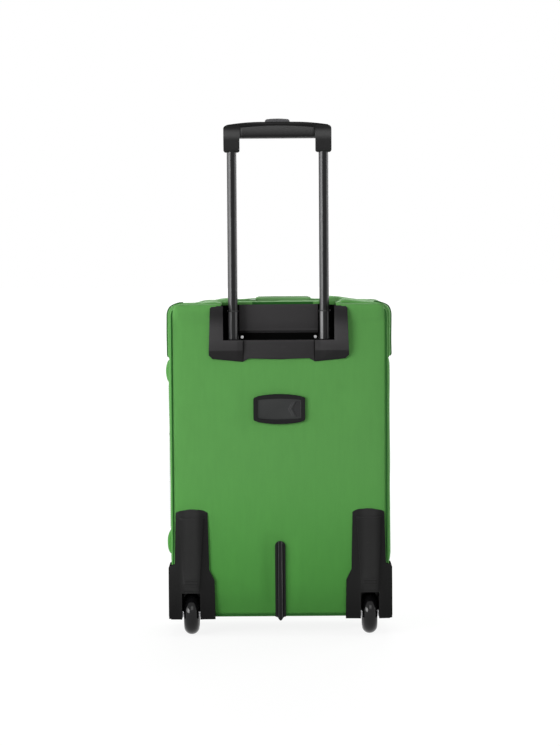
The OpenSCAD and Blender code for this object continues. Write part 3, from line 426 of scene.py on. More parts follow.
def mapWeave(mesh):
    # a map in metres from the way each face looks, so that threads keep their size
    layer = mesh.loops.layers.uv.new("weave")
    for face in mesh.faces:
        steep = [abs(c) for c in face.normal]
        flat = steep.index(max(steep))
        first, second = [(1, 2), (0, 2), (0, 1)][flat]
        for loop in face.loops:
            loop[layer].uv = (loop.vert.co[first], loop.vert.co[second])


def newPiece(name, mesh, look, slot, body, replaced=(), smooth=True, mapped=True):
    # makes an object of a mesh, on its body and in the place of the nodes that it replaces
    mesh.normal_update()
    if mapped:
        mapWeave(mesh)
    data = bpy.data.meshes.new(name)
    mesh.to_mesh(data)
    mesh.free()
    if smooth:
        data.shade_smooth()
    data.materials.append(looks[look])
    piece = bpy.data.objects.new(name, data)
    scene.collection.objects.link(piece)
    if body:
        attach(piece, body)
    if replaced:
        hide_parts(*replaced)
    return piece


def shellPiece(name, mesh, replaced=(), body="case"):
    # a piece of the case's green fabric
    return newPiece(name, mesh, "shell", "shell_fabric", body, replaced)


def clothGrid(columns, rows, place, closed=False, middle=case["middle"]):
    # a flat grid of cloth whose every point is then put in its place; its faces look away from the middle
    mesh = bmesh.new()
    bmesh.ops.create_grid(mesh, x_segments=columns, y_segments=rows, size=0.5)
    for vertex in mesh.verts:
        vertex.co = place(vertex.co.x + 0.5, vertex.co.y + 0.5)
    if closed:
        bmesh.ops.remove_doubles(mesh, verts=mesh.verts, dist=1e-5)
    mesh.normal_update()
    outward = sum(face.normal.dot(face.calc_center_median() - middle) * face.calc_area() for face in mesh.faces)
    if outward < 0:
        bmesh.ops.reverse_faces(mesh, faces=mesh.faces)
    return mesh


def divide(mesh, spot, normal):
    # a cut right through, that leaves both halves
    bmesh.ops.bisect_plane(mesh, geom=mesh.verts[:] + mesh.edges[:] + mesh.faces[:], dist=1e-6,
                           plane_co=spot, plane_no=normal)


def cutBox(mesh, low, high):
    # opens a box-shaped hole in a sheet
    for axis in range(3):
        for corner in (low, high):
            normal = Vector((0, 0, 0))
            normal[axis] = 1
            divide(mesh, corner, normal)
    inside = [face for face in mesh.faces
              if all(low[axis] < face.calc_center_median()[axis] < high[axis] for axis in range(3))]
    bmesh.ops.delete(mesh, geom=inside, context="FACES")


def cutMiddle(mesh, half, low, front):
    # the handle housing's room, open towards the back and the top
    cutBox(mesh, Vector((-half, beyond["back"], low)), Vector((half, front, beyond["top"])))


def cutCorners(mesh, inner, front, top):
    # the wheel boxes' room, open towards the back and the sides
    for side in (-1, 1):
        near, far = sorted((side * inner, side * beyond["side"]))
        cutBox(mesh, Vector((near, beyond["back"], 0)), Vector((far, front, top)))


def bodyHoles(mesh):
    # the handle's recess and the wheel boxes, with a little play round them
    cutMiddle(mesh, recess["halfWidth"] + play, recess["floor"] - play, recess["front"] + play)
    cutCorners(mesh, wheelBox["inner"] - play, wheelBox["front"] + play, wheelBox["top"] + play)


def roundEdges(mesh, edges, width, segments):
    bmesh.ops.bevel(mesh, geom=edges, offset=width, segments=segments, profile=0.5, affect="EDGES", material=-1)


def block(mesh, centre, size, turn=Matrix(), width=0, segments=1):
    # one block, with rounded edges where a width is given
    place = Matrix.Translation(centre) @ turn @ Matrix.Diagonal((*size, 1))
    made = bmesh.ops.create_cube(mesh, size=1, matrix=place)
    if width:
        roundEdges(mesh, list({edge for vertex in made["verts"] for edge in vertex.link_edges}), width, segments)


def thicken(piece, thickness):
    # gives a sheet its cloth's thickness, inwards
    wall = piece.modifiers.new("wall", "SOLIDIFY")
    wall.thickness = thickness
    wall.offset = -1


def soften(piece):
    smooth = piece.modifiers.new("smooth", "SUBSURF")
    smooth.levels = smooth.render_levels = 1


def settled(piece):
    # the piece's mesh with its modifiers applied
    bpy.context.view_layer.update()
    graph = bpy.context.evaluated_depsgraph_get()
    data = bpy.data.meshes.new_from_object(piece.evaluated_get(graph))
    piece.modifiers.clear()
    piece.data = data


def puff(piece, voxel, pressure, cap, held):
    # fills a closed pad with air and lets its cloth settle; points that held() names stay where they are
    remesh = piece.modifiers.new("cloth mesh", "REMESH")
    remesh.mode = "VOXEL"
    remesh.voxel_size = voxel
    settled(piece)
    rest = [vertex.co.copy() for vertex in piece.data.vertices]
    group = piece.vertex_groups.new(name="held")
    group.add([index for index, co in enumerate(rest) if held(co)], 1.0, "REPLACE")
    cloth = piece.modifiers.new("cloth", "CLOTH")
    cloth.settings.vertex_group_mass = "held"
    cloth.settings.use_pressure = True
    cloth.settings.uniform_pressure_force = pressure
    cloth.settings.effector_weights.gravity = 0
    cloth.settings.quality = 5
    for moment in range(1, 21):
        scene.frame_set(moment)
    settled(piece)
    scene.frame_set(1)
    for vertex, start in zip(piece.data.vertices, rest):
        move = vertex.co - start
        if move.length > cap:  # cloth that swells too far is drawn back
            vertex.co = start + move * (cap / move.length)
    piece.vertex_groups.clear()


def remapped(piece):
    # the weave's map again after a piece was remeshed
    mesh = bmesh.new()
    mesh.from_mesh(piece.data)
    mesh.normal_update()
    mapWeave(mesh)
    mesh.to_mesh(piece.data)
    mesh.free()
    piece.data.shade_smooth()


def bevelled(node, look, slot, width, shape=None, cuts=(), marked=None, markedLook="hollow"):
    # a rounded copy of a part, in the place of the sharp one; shape() moves its points, marked() picks faces of
    # another look
    mesh = bmesh.new()
    mesh.from_mesh(nodes[node].data)
    bmesh.ops.remove_doubles(mesh, verts=mesh.verts, dist=2e-6)
    bmesh.ops.dissolve_limit(mesh, angle_limit=math.radians(0.7), verts=mesh.verts, edges=mesh.edges)
    for spot, normal in cuts:
        divide(mesh, spot, normal)
    if shape:
        for vertex in mesh.verts:
            vertex.co = shape(vertex.co)
    mesh.normal_update()
    for face in mesh.faces:
        if marked and marked(face.calc_center_median(), face.normal):
            face.material_index = 1
    words = node.split("_")
    name = words[0] + "".join(word.capitalize() for word in words[1:])
    piece = newPiece(name, mesh, look, slot, nodes[node]["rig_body"], [node], mapped=False)
    if marked:
        piece.data.materials.append(looks[markedLook])
    edge = piece.modifiers.new("edge", "BEVEL")
    edge.width = width
    edge.segments = 3
    edge.limit_method = "ANGLE"
    edge.angle_limit = math.radians(24)
    edge.harden_normals = True
    edge.use_clamp_overlap = True


outlineTurn = math.pi * case["corner"] / 2
outlineWide = case["halfWidth"] - case["corner"]
outlineTall = case["high"] - case["low"] - 2 * case["corner"]
outlineLength = 4 * outlineWide + 2 * outlineTall + 4 * outlineTurn


def ringAt(share):
    # a point of the body's outline and the way out of it, going round from the middle of the foot
    wide, tall, corner = outlineWide, outlineTall, case["corner"]
    low, high = case["low"] + corner, case["high"] - corner
    legs = [(wide, (0, case["low"]), (1, 0)), (outlineTurn, (wide, low), -90),
            (tall, (case["halfWidth"], low), (0, 1)), (outlineTurn, (wide, high), 0),
            (2 * wide, (wide, case["high"]), (-1, 0)), (outlineTurn, (-wide, high), 90),
            (tall, (-case["halfWidth"], high), (0, -1)), (outlineTurn, (-wide, low), 180),
            (wide + 1e-9, (-wide, case["low"]), (1, 0))]
    along = (share % 1.0) * outlineLength
    for length, (x, z), way in legs:
        if along <= length:
            if isinstance(way, tuple):
                return Vector((x + way[0] * along, 0, z + way[1] * along)), Vector((way[1], 0, -way[0]))
            angle = math.radians(way) + along / corner
            out = Vector((math.cos(angle), 0, math.sin(angle)))
            return Vector((x, 0, z)) + corner * out, out
        along -= length
    return Vector((0, 0, case["low"])), Vector((0, 0, -1))


sag = {"drop": 0.0046, "from": 0.118, "to": 0.142, "low": 0.48, "high": 0.53}


def sagged(spot):
    # the fabric's top left corner hangs a little towards the front
    share = smoothStep(sag["from"], sag["to"], -spot.x) * smoothStep(sag["low"], sag["high"], spot.z)
    share *= smoothStep(case["back"] + 0.015, case["gussetFront"], spot.y)
    return spot - Vector((0, 0, sag["drop"] * share))


def ringSheet(columns, rows, back, front, lift, start=0.0, end=1.0):
    # a band of cloth round the case; lift says how far each point stands off the outline
    def place(along, across):
        spot, out = ringAt(start + (end - start) * along)
        y = back + (front - back) * across
        return sagged(spot + out * lift(Vector((spot.x, y, spot.z)), across) + Vector((0, y, 0)))
    return clothGrid(columns, rows, place, closed=end - start > 0.999)


stitch = {"pitch": 0.0017, "length": 0.0026, "wide": 0.00045, "flat": 0.8}


def stitches(name, seams, out, slot):
    # a row of thread along each seam, which is given by its two ends; out is the way out of the cloth
    mesh = bmesh.new()
    size = Matrix.Diagonal((stitch["length"] / 2, stitch["wide"], stitch["wide"] * stitch["flat"], 1))
    for start, end in seams:
        count = max(2, int((end - start).length / stitch["pitch"]))
        for step in range(0, count, 2):
            first, second = start.lerp(end, step / count), start.lerp(end, (step + 1) / count)
            along = (second - first).normalized()
            turn = Matrix((along, along.cross(out), out)).transposed().to_4x4()
            bmesh.ops.create_icosphere(mesh, subdivisions=1, radius=1,
                                       matrix=Matrix.Translation((first + second) / 2) @ turn @ size)
    newPiece(name, mesh, "thread", slot, "case", mapped=False)


def creases(spot, size, depth):
    # soft folds of about this size
    return depth * noise.noise(spot / size)


backPanel = {"columns": 88, "rows": 128, "edge": 0.0045, "topEdge": 0.0006, "roll": 0.0050, "rollPeak": 0.0085,
             "rollEnd": 0.034, "pillow": 0.0012, "crease": 0.0008, "sag": 0.0022, "turnUnder": 0.034, "cloth": 0.0012,
             "tagHalf": 0.043, "cardOut": 0.104, "tagHigh": 0.367, "tagTall": 0.026,
             "skidHalf": 0.011, "skidTop": 0.156}


def backLift(x, z):
    # how far the back panel stands out behind its flat plane
    panel = backPanel
    side = case["halfWidth"] - panel["edge"] - abs(x)
    top = max(0, case["high"] - panel["topEdge"] - z)
    foot = z - case["low"] - panel["edge"]
    if top < panel["rollPeak"]:
        roll = math.sin(math.pi / 2 * top / panel["rollPeak"]) ** 0.8
    else:
        roll = 1 - smoothStep(panel["rollPeak"], panel["rollEnd"], top)
    roll *= panel["roll"] * smoothStep(0.0, 0.008, side)
    if z > 0.5:
        roll *= smoothStep(recess["halfWidth"] - 0.001, recess["halfWidth"] + 0.010, abs(x))
    spot = Vector((x, 0, z))
    # flat under the tag frame, the way of its card and the skid bar
    tagSide = abs(x) - (panel["tagHalf"] if x < 0 else panel["cardOut"])
    tagEnd = abs(z - panel["tagHigh"]) - panel["tagTall"]
    tagCalm = smoothStep(0, 0.03, math.hypot(max(0, tagSide), max(0, tagEnd)))
    skidCalm = smoothStep(0, 0.022, math.hypot(max(0, abs(x) - panel["skidHalf"]), max(0, z - panel["skidTop"])))
    hem = smoothStep(0, 0.008, min(side, foot))
    loose = panel["pillow"] * smoothStep(-0.004, 0.016, side) * smoothStep(0, 0.05, foot)
    loose += hem * creases(spot + Vector((0.3, 0, 0)), 0.085, panel["crease"])
    loose += hem * creases(spot, 0.031, panel["crease"] * 0.3)
    bag = panel["sag"] * smoothStep(0.0, panel["turnUnder"], foot) * (1 - smoothStep(0.05, 0.15, foot))
    tuck = 0.0003 * (1 - smoothStep(0, 0.003, min(side, foot)))
    return roll + (loose + bag) * tagCalm * skidCalm - tuck


def backPlace(along, across):
    panel = backPanel
    halfWide = case["halfWidth"] - panel["edge"]
    low, high = case["low"] + panel["edge"], case["high"] - panel["topEdge"]
    x, z = halfWide * (2 * along - 1), low + (high - low) * across
    corner = case["corner"] - panel["edge"]
    cornerX, cornerZ = halfWide - corner, (high - low) / 2 - corner
    mid = (high + low) / 2
    dx, dz = abs(x) - cornerX, abs(z - mid) - cornerZ
    if dx > 0 and dz > 0:  # a square corner of the grid becomes a quarter of a disc
        a, b = dx / corner, dz / corner
        x = math.copysign(cornerX + corner * a * math.sqrt(1 - b * b / 2), x)
        z = mid + math.copysign(cornerZ + corner * b * math.sqrt(1 - a * a / 2), z - mid)
    return Vector((x, case["back"] - backLift(x, z), z))


mesh = clothGrid(backPanel["columns"], backPanel["rows"], backPlace)
bodyHoles(mesh)
backCloth = shellPiece("backCloth", mesh, ["back_panel"])
thicken(backCloth, backPanel["cloth"])

sideWall = {"columns": 290, "rows": 30, "start": case["back"] + 0.0003, "bulge": 0.0030, "crease": 0.0008,
            "cloth": 0.0026, "tucked": 0.0007, "tuckIn": 0.0030}


def wallLift(spot, across):
    # the side walls bulge between their seams, but not under the top panel, the wheel boxes and the side handle
    wall = sideWall
    atSide = smoothStep(0.165, 0.172, abs(spot.x))
    strap = (1 - smoothStep(0.018, 0.030, abs(spot.y - handleY))) if spot.x < 0 else 0
    bulge = wall["bulge"] * math.sin(math.pi * across) ** 0.7 * (0.35 + 0.65 * atSide) * (1 - 0.45 * strap)
    if spot.x < 0:
        bulge *= smoothStep(0.22, 0.42, spot.z) * 0.9 + 0.1
    else:
        bulge *= 1 + 0.30 * atSide
    bulge += creases(spot, 0.05, wall["crease"]) * math.sin(math.pi * across) * (1 - 0.6 * strap)
    underTop = smoothStep(0.440, 0.452, spot.z)
    underHousing = (1 - smoothStep(0.113, 0.128, spot.z)) * (1 - smoothStep(-0.016, 0.002, spot.y))
    covered = max(underTop, underHousing * atSide)
    if spot.z < 0.04:  # flat where the feet and the housings sit
        covered = max(covered, 0.9)
    tuck = wall["tuckIn"] * (1 - math.sqrt(min(1, max(0, (spot.y - wall["start"]) / 0.008)))) ** 1.5
    return bulge * (1 - covered) - max(wall["tucked"] * covered, tuck)


mesh = ringSheet(sideWall["columns"], sideWall["rows"], sideWall["start"], case["gussetFront"], wallLift)
bodyHoles(mesh)
bodyWall = shellPiece("bodyWall", mesh, ["body_gusset"])
thicken(bodyWall, sideWall["cloth"])
print("stage: back panel and side walls")

topPanel = {"columns": 190, "rows": 44, "leftHump": 0.0063, "rightHump": 0.0085, "bed": -0.0004, "side": 0.0029,
            "cloth": 0.0030, "drop": 0.0885, "holeLow": 0.50}
topStart = (outlineWide + outlineTurn + outlineTall + case["corner"] - topPanel["drop"]) / outlineLength


def topLift(spot, across):
    # two humps beside the handle's bed, and flat flanks down the sides
    top = topPanel
    x = spot.x
    puffy = (1 - abs(2 * across - 1) ** 6) ** 0.5
    onTop = 1 - smoothStep(0.0, 0.010, case["high"] - spot.z)
    if x < 0:
        crown = top["leftHump"] * smoothStep(-0.130, -0.078, x)
    else:
        crown = top["rightHump"] * (1 - smoothStep(0.078, 0.158, x))
    bed = (1 - smoothStep(0.072, 0.083, abs(x))) * (1 - smoothStep(0.017, 0.026, abs(spot.y - handleY)))
    middle = 1 - smoothStep(0.064, 0.080, abs(x))
    crown = crown * (1 - 0.75 * middle)
    crown = crown * (1 - bed) + top["bed"] * bed
    rise = smoothStep(recess["rim"] - 0.001, recess["rim"] + 0.016, spot.y)  # comes up from the handle's recess
    rise = max(rise, smoothStep(0.093, 0.106, abs(x)))
    hang = smoothStep(case["high"] - top["drop"], case["high"] - top["drop"] + 0.006, spot.z) ** 0.5
    side = (top["side"] + (0.0009 if x > 0 else 0.0) + creases(spot, 0.04, 0.0007)) * hang
    crown = crown * rise + creases(spot, 0.03, 0.0008) * (1 - bed) * rise
    return (onTop * crown + (1 - onTop) * side) * puffy + 0.0003


mesh = ringSheet(topPanel["columns"], topPanel["rows"], case["gussetBack"] + 0.0006, case["gussetFront"] - 0.0010,
                 topLift, topStart, 1 - topStart)
cutMiddle(mesh, recess["halfWidth"] + play, topPanel["holeLow"], recess["rim"] + play)
topCloth = shellPiece("topCloth", mesh, ["top_panel"])
thicken(topCloth, topPanel["cloth"])

binding = {"radius": 0.0013, "proud": 0.0006, "y": case["gussetBack"] + 0.016, "across": 0.13, "end": 0.0012}


def ringCord(columns, rows, y, radius, lift, start=0.0, end=1.0):
    # a round cord along the outline; lift says how far its middle stands off it
    def place(along, around):
        spot, out = ringAt(start + (end - start) * along)
        spot.y = y
        angle = 2 * math.pi * around
        off = lift(spot) + radius * math.cos(angle)
        return sagged(spot + out * off + Vector((0, radius * math.sin(angle), 0)))
    mesh = clothGrid(columns, rows, place, closed=True)
    bmesh.ops.recalc_face_normals(mesh, faces=mesh.faces)
    return mesh


def bindingLift(spot):
    return topLift(spot, binding["across"]) + binding["proud"]


# a dark bound seam over each side of the top panel, from its lower end up round the corner
bindingFrom = topStart + binding["end"]
bindingTo = topStart + (topPanel["drop"] + 0.014) / outlineLength
for label, first, last in (("Right", bindingFrom, bindingTo), ("Left", 1 - bindingTo, 1 - bindingFrom)):
    mesh = ringCord(60, 10, binding["y"], binding["radius"], bindingLift, first, last)
    newPiece("topBinding" + label, mesh, "piping", "piping", "case")

recessHem = {"halfWidth": 0.0930, "low": 0.5240, "high": case["high"] + 0.0009, "cloth": 0.0012,
             "shadowMiddle": 0.0075, "shadowHalf": 0.049}


def recessHemPlace(along, across):
    # the top panel's edge turned down behind the handle housing
    x = recessHem["halfWidth"] * (2 * along - 1)
    y = recess["rim"] - 0.0003 + creases(Vector((x, 0, 0)), 0.02, 0.0001)
    return Vector((x, y, recessHem["low"] + (recessHem["high"] - recessHem["low"]) * across))


mesh = clothGrid(70, 8, recessHemPlace)
for face in mesh.faces:  # painted shadow: dark piping cloth below the handle's pad, where its shadow falls
    face.material_index = int(abs(face.calc_center_median().x - recessHem["shadowMiddle"]) < recessHem["shadowHalf"])
hemStrip = shellPiece("recessHem", mesh)
hemStrip.data.materials.append(looks["piping"])
thicken(hemStrip, recessHem["cloth"])

piping = {"radius": 0.00125, "inset": 0.0043, "sunk": 0.0016, "wheelSide": 0.1045, "wheelTop": 0.1185,
          "housingSide": 0.1128, "housingLow": 0.50}


def pipingLift(spot):
    # set in from the outline, and on the back sunk under the top panel
    onTop = smoothStep(0.529, 0.5365, spot.z) * (1 - smoothStep(0.158, 0.168, abs(spot.x)))
    return -piping["inset"] - (piping["sunk"] * onTop if spot.y < 0 else 0)


for name, y, body, node in (("backPiping", case["back"] - 0.0003, "case", "back_piping"),
                            ("frontPiping", case["front"] - 0.0006, "lid", "front_piping")):
    mesh = ringCord(300, 14, y, piping["radius"], pipingLift)
    if body == "case":  # it stops where the wheel boxes and the housing cover it
        cutCorners(mesh, piping["wheelSide"], 0, piping["wheelTop"])
        cutMiddle(mesh, piping["housingSide"], piping["housingLow"], 0)
    newPiece(name, mesh, "piping", "piping", body, [node])
print("stage: top panel and piping")

lidWall = {"columns": 290, "rows": 8, "bulge": 0.0016, "cloth": 0.0030}


def lidLift(spot, across):
    # the lid's wall bulges between its seams
    return math.sin(math.pi * across) * (lidWall["bulge"] + creases(spot, 0.05, 0.0006))


mesh = ringSheet(lidWall["columns"], lidWall["rows"], case["lidBack"], case["lidFront"], lidLift)
lidSide = shellPiece("lidSide", mesh, ["lid_gusset"], "lid")
thicken(lidSide, lidWall["cloth"])

lidSheet = {"edge": 0.0045, "low": 0.0345, "high": 0.5325, "sunk": 0.0008, "pillow": 0.0012, "cloth": 0.0022}


def lidPlace(along, across):
    # the back panel's outline again, with a soft pillow of its own
    spot = backPlace(along, across)
    side = case["halfWidth"] - lidSheet["edge"] - abs(spot.x)
    end = min(spot.z - lidSheet["low"], lidSheet["high"] - spot.z)
    rise = lidSheet["pillow"] * smoothStep(0, 0.012, side) * smoothStep(0, 0.012, end)
    spot.y = case["front"] - lidSheet["sunk"] + rise * 0.6 + creases(spot, 0.06, 0.0003)
    return sagged(spot)


mesh = clothGrid(70, 100, lidPlace)
lidCloth = shellPiece("lidCloth", mesh, ["lid_panel"], "lid")
thicken(lidCloth, lidSheet["cloth"])

pockets = {"thin": 0.0085, "inset": 0.002, "round": 0.022, "rim": 0.004, "voxel": 0.0055, "pressure": 4.0,
           "cap": 0.0052, "zipBand": 0.009, "crease": 0.0012}
for name, node in (("lowerPocket", "lower_pocket"), ("upperPocket", "upper_pocket")):
    low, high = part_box(node)
    thin, inset = pockets["thin"], 2 * pockets["inset"]
    mesh = bmesh.new()
    block(mesh, Vector(((low.x + high.x) / 2, low.y + thin / 2, (low.z + high.z) / 2)),
          (high.x - low.x - inset, thin, high.z - low.z - inset))
    corners = [edge for edge in mesh.edges if abs(edge.verts[0].co.y - edge.verts[1].co.y) > 0.001]
    roundEdges(mesh, corners, pockets["round"], 8)
    rim = [edge for edge in mesh.edges if all(v.co.y > low.y + thin - 0.0005 for v in edge.verts)
           and len(edge.link_faces) == 2 and edge.calc_face_angle(0) > 0.8]
    roundEdges(mesh, rim, pockets["rim"], 4)
    pad = shellPiece(name, mesh, [node], "lid")
    puff(pad, pockets["voxel"], pockets["pressure"], pockets["cap"], lambda co: co.y < case["front"] + 0.002)
    for vertex in pad.data.vertices:
        co = vertex.co
        if co.y > case["front"] + 0.004:  # drawn flat along its zip, loose below and above it
            flat = 1 - smoothStep(pockets["zipBand"], 0.040, abs(co.z - pocketZips[name]))
            flat *= 1 - smoothStep(0.132, 0.142, abs(co.x))
            loose = creases(co, 0.045, pockets["crease"]) * (1 - flat)
            co.y = co.y * (1 - flat) + (high.y - 0.0004) * flat + loose
    remapped(pad)
    soften(pad)
print("stage: lid and pockets")

zipTeeth = {"pitch": 0.0032, "size": (0.0019, 0.0023, 0.0030), "edge": 0.0004, "proud": 0.0004, "apart": 0.0012,
            "tapeNear": 0.0019, "tapeFar": 0.0060, "tape": 0.0012}


def onHingeSide(spot):
    # no zip runs here, because the fabric hinge joins body and lid
    return spot.x > 0.155 and 0.068 < spot.z < 0.499


for name, side, body, node in (("body", -1, "case", "zip_body"), ("lid", 1, "lid", "zip_lid")):
    near, far = case["seam"] + side * zipTeeth["tapeNear"], case["seam"] + side * zipTeeth["tapeFar"]
    mesh = ringSheet(290, 3, min(near, far), max(near, far), lambda spot, across: -0.0003)
    if body == "case":
        bmesh.ops.delete(mesh, geom=[f for f in mesh.faces if onHingeSide(f.calc_center_median())], context="FACES")
    tape = newPiece(name + "ZipTape", mesh, "tape", "piping", body, [node])
    thicken(tape, zipTeeth["tape"])
    mesh = bmesh.new()
    count = int(outlineLength / zipTeeth["pitch"])
    for index in range(count):
        spot, out = ringAt((index + (0.5 if side > 0 else 0)) / count)
        if onHingeSide(spot) or spot.x > 0.1755:
            continue
        along = Vector((-out.z, 0, out.x))
        centre = sagged(spot + out * (zipTeeth["proud"] - zipTeeth["size"][2] / 2 + 0.0002)
                        + Vector((0, case["seam"] + side * zipTeeth["apart"], 0)))
        turn = Matrix((along, out.cross(along), out)).transposed().to_4x4()
        block(mesh, centre, zipTeeth["size"], turn, zipTeeth["edge"])
    newPiece(name + "ZipTeeth", mesh, "zipMetal", "zip_metal", body, smooth=False, mapped=False)

hinge = {"x": case["halfWidth"] + 0.0004, "low": 0.0705, "high": 0.4965, "wide": 0.015, "cloth": 0.0008, "level": 0.28}


def hingePlace(along, across):
    y = case["seam"] + hinge["wide"] * (along - 0.5)
    z = hinge["low"] + (hinge["high"] - hinge["low"]) * across
    crown = 0.0005 * math.cos(math.pi * (along - 0.5))
    return Vector((hinge["x"] + crown, y, z))


mesh = clothGrid(14, 110, hingePlace)
hingeCloth = shellPiece("hingeCloth", mesh, ["lid_hinge"], None)
thicken(hingeCloth, hinge["cloth"])
settled(hingeCloth)
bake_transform(hingeCloth)

pocketZip = {"half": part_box("pocket_zips")[1].x, "face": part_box("pocket_zips")[1].y - 0.0008, "wide": 0.016,
             "cloth": 0.0006, "pitch": 0.0030, "apart": 0.0010, "size": (0.0014, 0.0014, 0.0019)}
for label, zipZ, replaced in (("Low", pocketZips["lowerPocket"], ["pocket_zips"]),
                              ("Top", pocketZips["upperPocket"], [])):
    half, face = pocketZip["half"], pocketZip["face"]
    mesh = clothGrid(60, 4, lambda a, b: Vector((half * (2 * a - 1), face, zipZ + pocketZip["wide"] * (b - 0.5))))
    tape = newPiece("pocketTape" + label, mesh, "tape", "piping", "lid", replaced)
    thicken(tape, pocketZip["cloth"])
    mesh = bmesh.new()
    for index in range(int(2 * half / pocketZip["pitch"])):
        for row in (-1, 1):  # the two rows mesh, half a tooth out of step
            x = -half + (0.5 + index + row * 0.25) * pocketZip["pitch"]
            block(mesh, Vector((x, face, zipZ + row * pocketZip["apart"])), pocketZip["size"])
    newPiece("pocketTeeth" + label, mesh, "zipMetal", "zip_metal", "lid", smooth=False, mapped=False)
print("stage: zips and hinge")

topHandle = {"half": 0.0455, "wide": 0.0275, "low": 0.5374, "high": 0.5450, "round": 0.0026, "voxel": 0.0026,
             "pressure": 4.0, "cap": 0.0014, "strapLift": 0.5414, "slid": 0.0075, "cloth": 0.0015}


def strapPlace(along, across):
    reach = (handleHigh.x - handleLow.x) / 2 + 0.008
    x = reach * (2 * along - 1)
    rise = 1 - smoothStep(0.040, 0.062, abs(x))
    return Vector((x, handleY + webWide * (across - 0.5), topHandle["strapLift"] + 0.0012 * rise))


mesh = clothGrid(60, 8, strapPlace, middle=Vector((0, handleY, 0.5)))
topStrap = shellPiece("topStrap", mesh, ["top_handle"])
thicken(topStrap, topHandle["cloth"])
soften(topStrap)
mesh = bmesh.new()
block(mesh, Vector((topHandle["slid"], handleY, (topHandle["high"] + topHandle["low"]) / 2)),
      (2 * topHandle["half"], topHandle["wide"], topHandle["high"] - topHandle["low"]))
roundEdges(mesh, mesh.edges[:], topHandle["round"], 4)
gripPad = newPiece("gripPad", mesh, "light", "strap_fabric", "case")
puff(gripPad, topHandle["voxel"], topHandle["pressure"], topHandle["cap"],
     lambda co: abs(co.x - topHandle["slid"]) > topHandle["half"] - 0.003)
remapped(gripPad)
soften(gripPad)

padSeam = {"x": topHandle["slid"], "half": 0.040, "aside": 0.0095, "z": 0.5458}
seams = [[Vector((padSeam["x"] + end * padSeam["half"], handleY + side * padSeam["aside"], padSeam["z"]))
          for end in (-1, 1)] for side in (-1, 1)]
stitches("padStitches", seams, upward, "strap_fabric")

anchor = {"wide": 0.0355, "thick": 0.0022, "z": 0.5386, "round": 0.0011,
          "seamX": 0.060, "seamLong": 0.0105, "seamWide": 0.0155, "seamZ": 0.5398}
mesh = bmesh.new()
for middle, long in ((-0.0550, 0.0355), (0.060, 0.0255)):
    block(mesh, Vector((middle, handleY, anchor["z"])), (long, anchor["wide"], anchor["thick"]),
          width=anchor["round"], segments=3)
shellPiece("topAnchors", mesh, ["handle_anchors"])
seams = [[Vector((side * anchor["seamX"] + across * anchor["seamLong"], handleY + deep * anchor["seamWide"],
                  anchor["seamZ"])) for across, deep in ends]
         for side in (-1, 1) for edge in (-1, 1)  # a square of stitches on each anchor
         for ends in (((-1, edge), (1, edge)), ((edge, -1), (edge, 1)))]
stitches("anchorStitches", seams, upward, "shell_fabric")

sideLow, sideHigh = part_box("side_handle")
sideX = (sideLow.x + sideHigh.x) / 2
sideHandle = {"short": 0.006, "bow": 0.0020, "out": 0.0009, "cloth": 0.0022, "seamOut": 0.0006, "seamAside": 0.0115,
              "seamShort": 0.024}


def sideStrapPlace(along, across):
    z = sideLow.z + sideHandle["short"] + (sideHigh.z - sideLow.z - 2 * sideHandle["short"]) * along
    bow = sideHandle["bow"] * math.sin(math.pi * along)
    return Vector((sideX + sideHandle["out"] + bow, handleY + webWide * (across - 0.5), z))


mesh = clothGrid(90, 8, sideStrapPlace)
sideStrap = shellPiece("sideStrap", mesh, ["side_handle"])
thicken(sideStrap, sideHandle["cloth"])
soften(sideStrap)
seams = [[Vector((sideX - sideHandle["seamOut"], handleY + side * sideHandle["seamAside"], z))
          for z in (sideLow.z + sideHandle["seamShort"], sideHigh.z - sideHandle["seamShort"])] for side in (-1, 1)]
stitches("sideStitches", seams, Vector((-1, 0, 0)), "shell_fabric")

sideAnchor = {"long": 0.040, "proud": 0.0085, "wide": 0.036, "cloth": 0.0012}


def anchorPlace(middleZ):
    def place(along, across):
        a, b = 2 * along - 1, 2 * across - 1
        rise = sideAnchor["proud"] * math.sqrt(max(0, 1 - a * a)) ** 0.9 * (1 - abs(b) ** 7) ** 0.5
        z = middleZ + a * sideAnchor["long"] / 2
        y = handleY + b * sideAnchor["wide"] / 2
        wrinkle = creases(Vector((0, y, z)), 0.012, 0.0004) * (1 - a * a)
        return Vector((-case["halfWidth"] - rise - 0.0004 + wrinkle, y, z))
    return place


for label, middleZ in (("High", sideHigh.z), ("Low", sideLow.z)):
    mesh = clothGrid(22, 20, anchorPlace(middleZ))
    cover = shellPiece("sideAnchor" + label, mesh)
    thicken(cover, sideAnchor["cloth"])
    soften(cover)
print("stage: carry handles")

lining = {"inset": 0.0074, "floor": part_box("body_lining")[0].y, "cloth": 0.0008, "play": 0.0005,
          "halfTall": 0.2535, "panelEdge": 0.0045}


def liningLift(spot, across):
    return -lining["inset"] - 0.0004 + creases(spot, 0.03, 0.0005)


mesh = ringSheet(200, 14, lining["floor"], case["seam"] - 0.0012, liningLift)
bmesh.ops.reverse_faces(mesh, faces=mesh.faces)


def liningFloor(along, across):
    # the back panel's sheet, shrunk to the lining's walls
    spot = backPlace(along, across)
    spot.x *= (case["halfWidth"] - lining["inset"]) / (case["halfWidth"] - lining["panelEdge"])
    middle, tall = case["middle"].z, lining["halfTall"]
    spot.z = middle + (spot.z - middle) * (tall - lining["inset"]) / (tall - lining["panelEdge"])
    spot.y = lining["floor"] + 0.0006 + creases(spot, 0.05, 0.0004)
    return spot


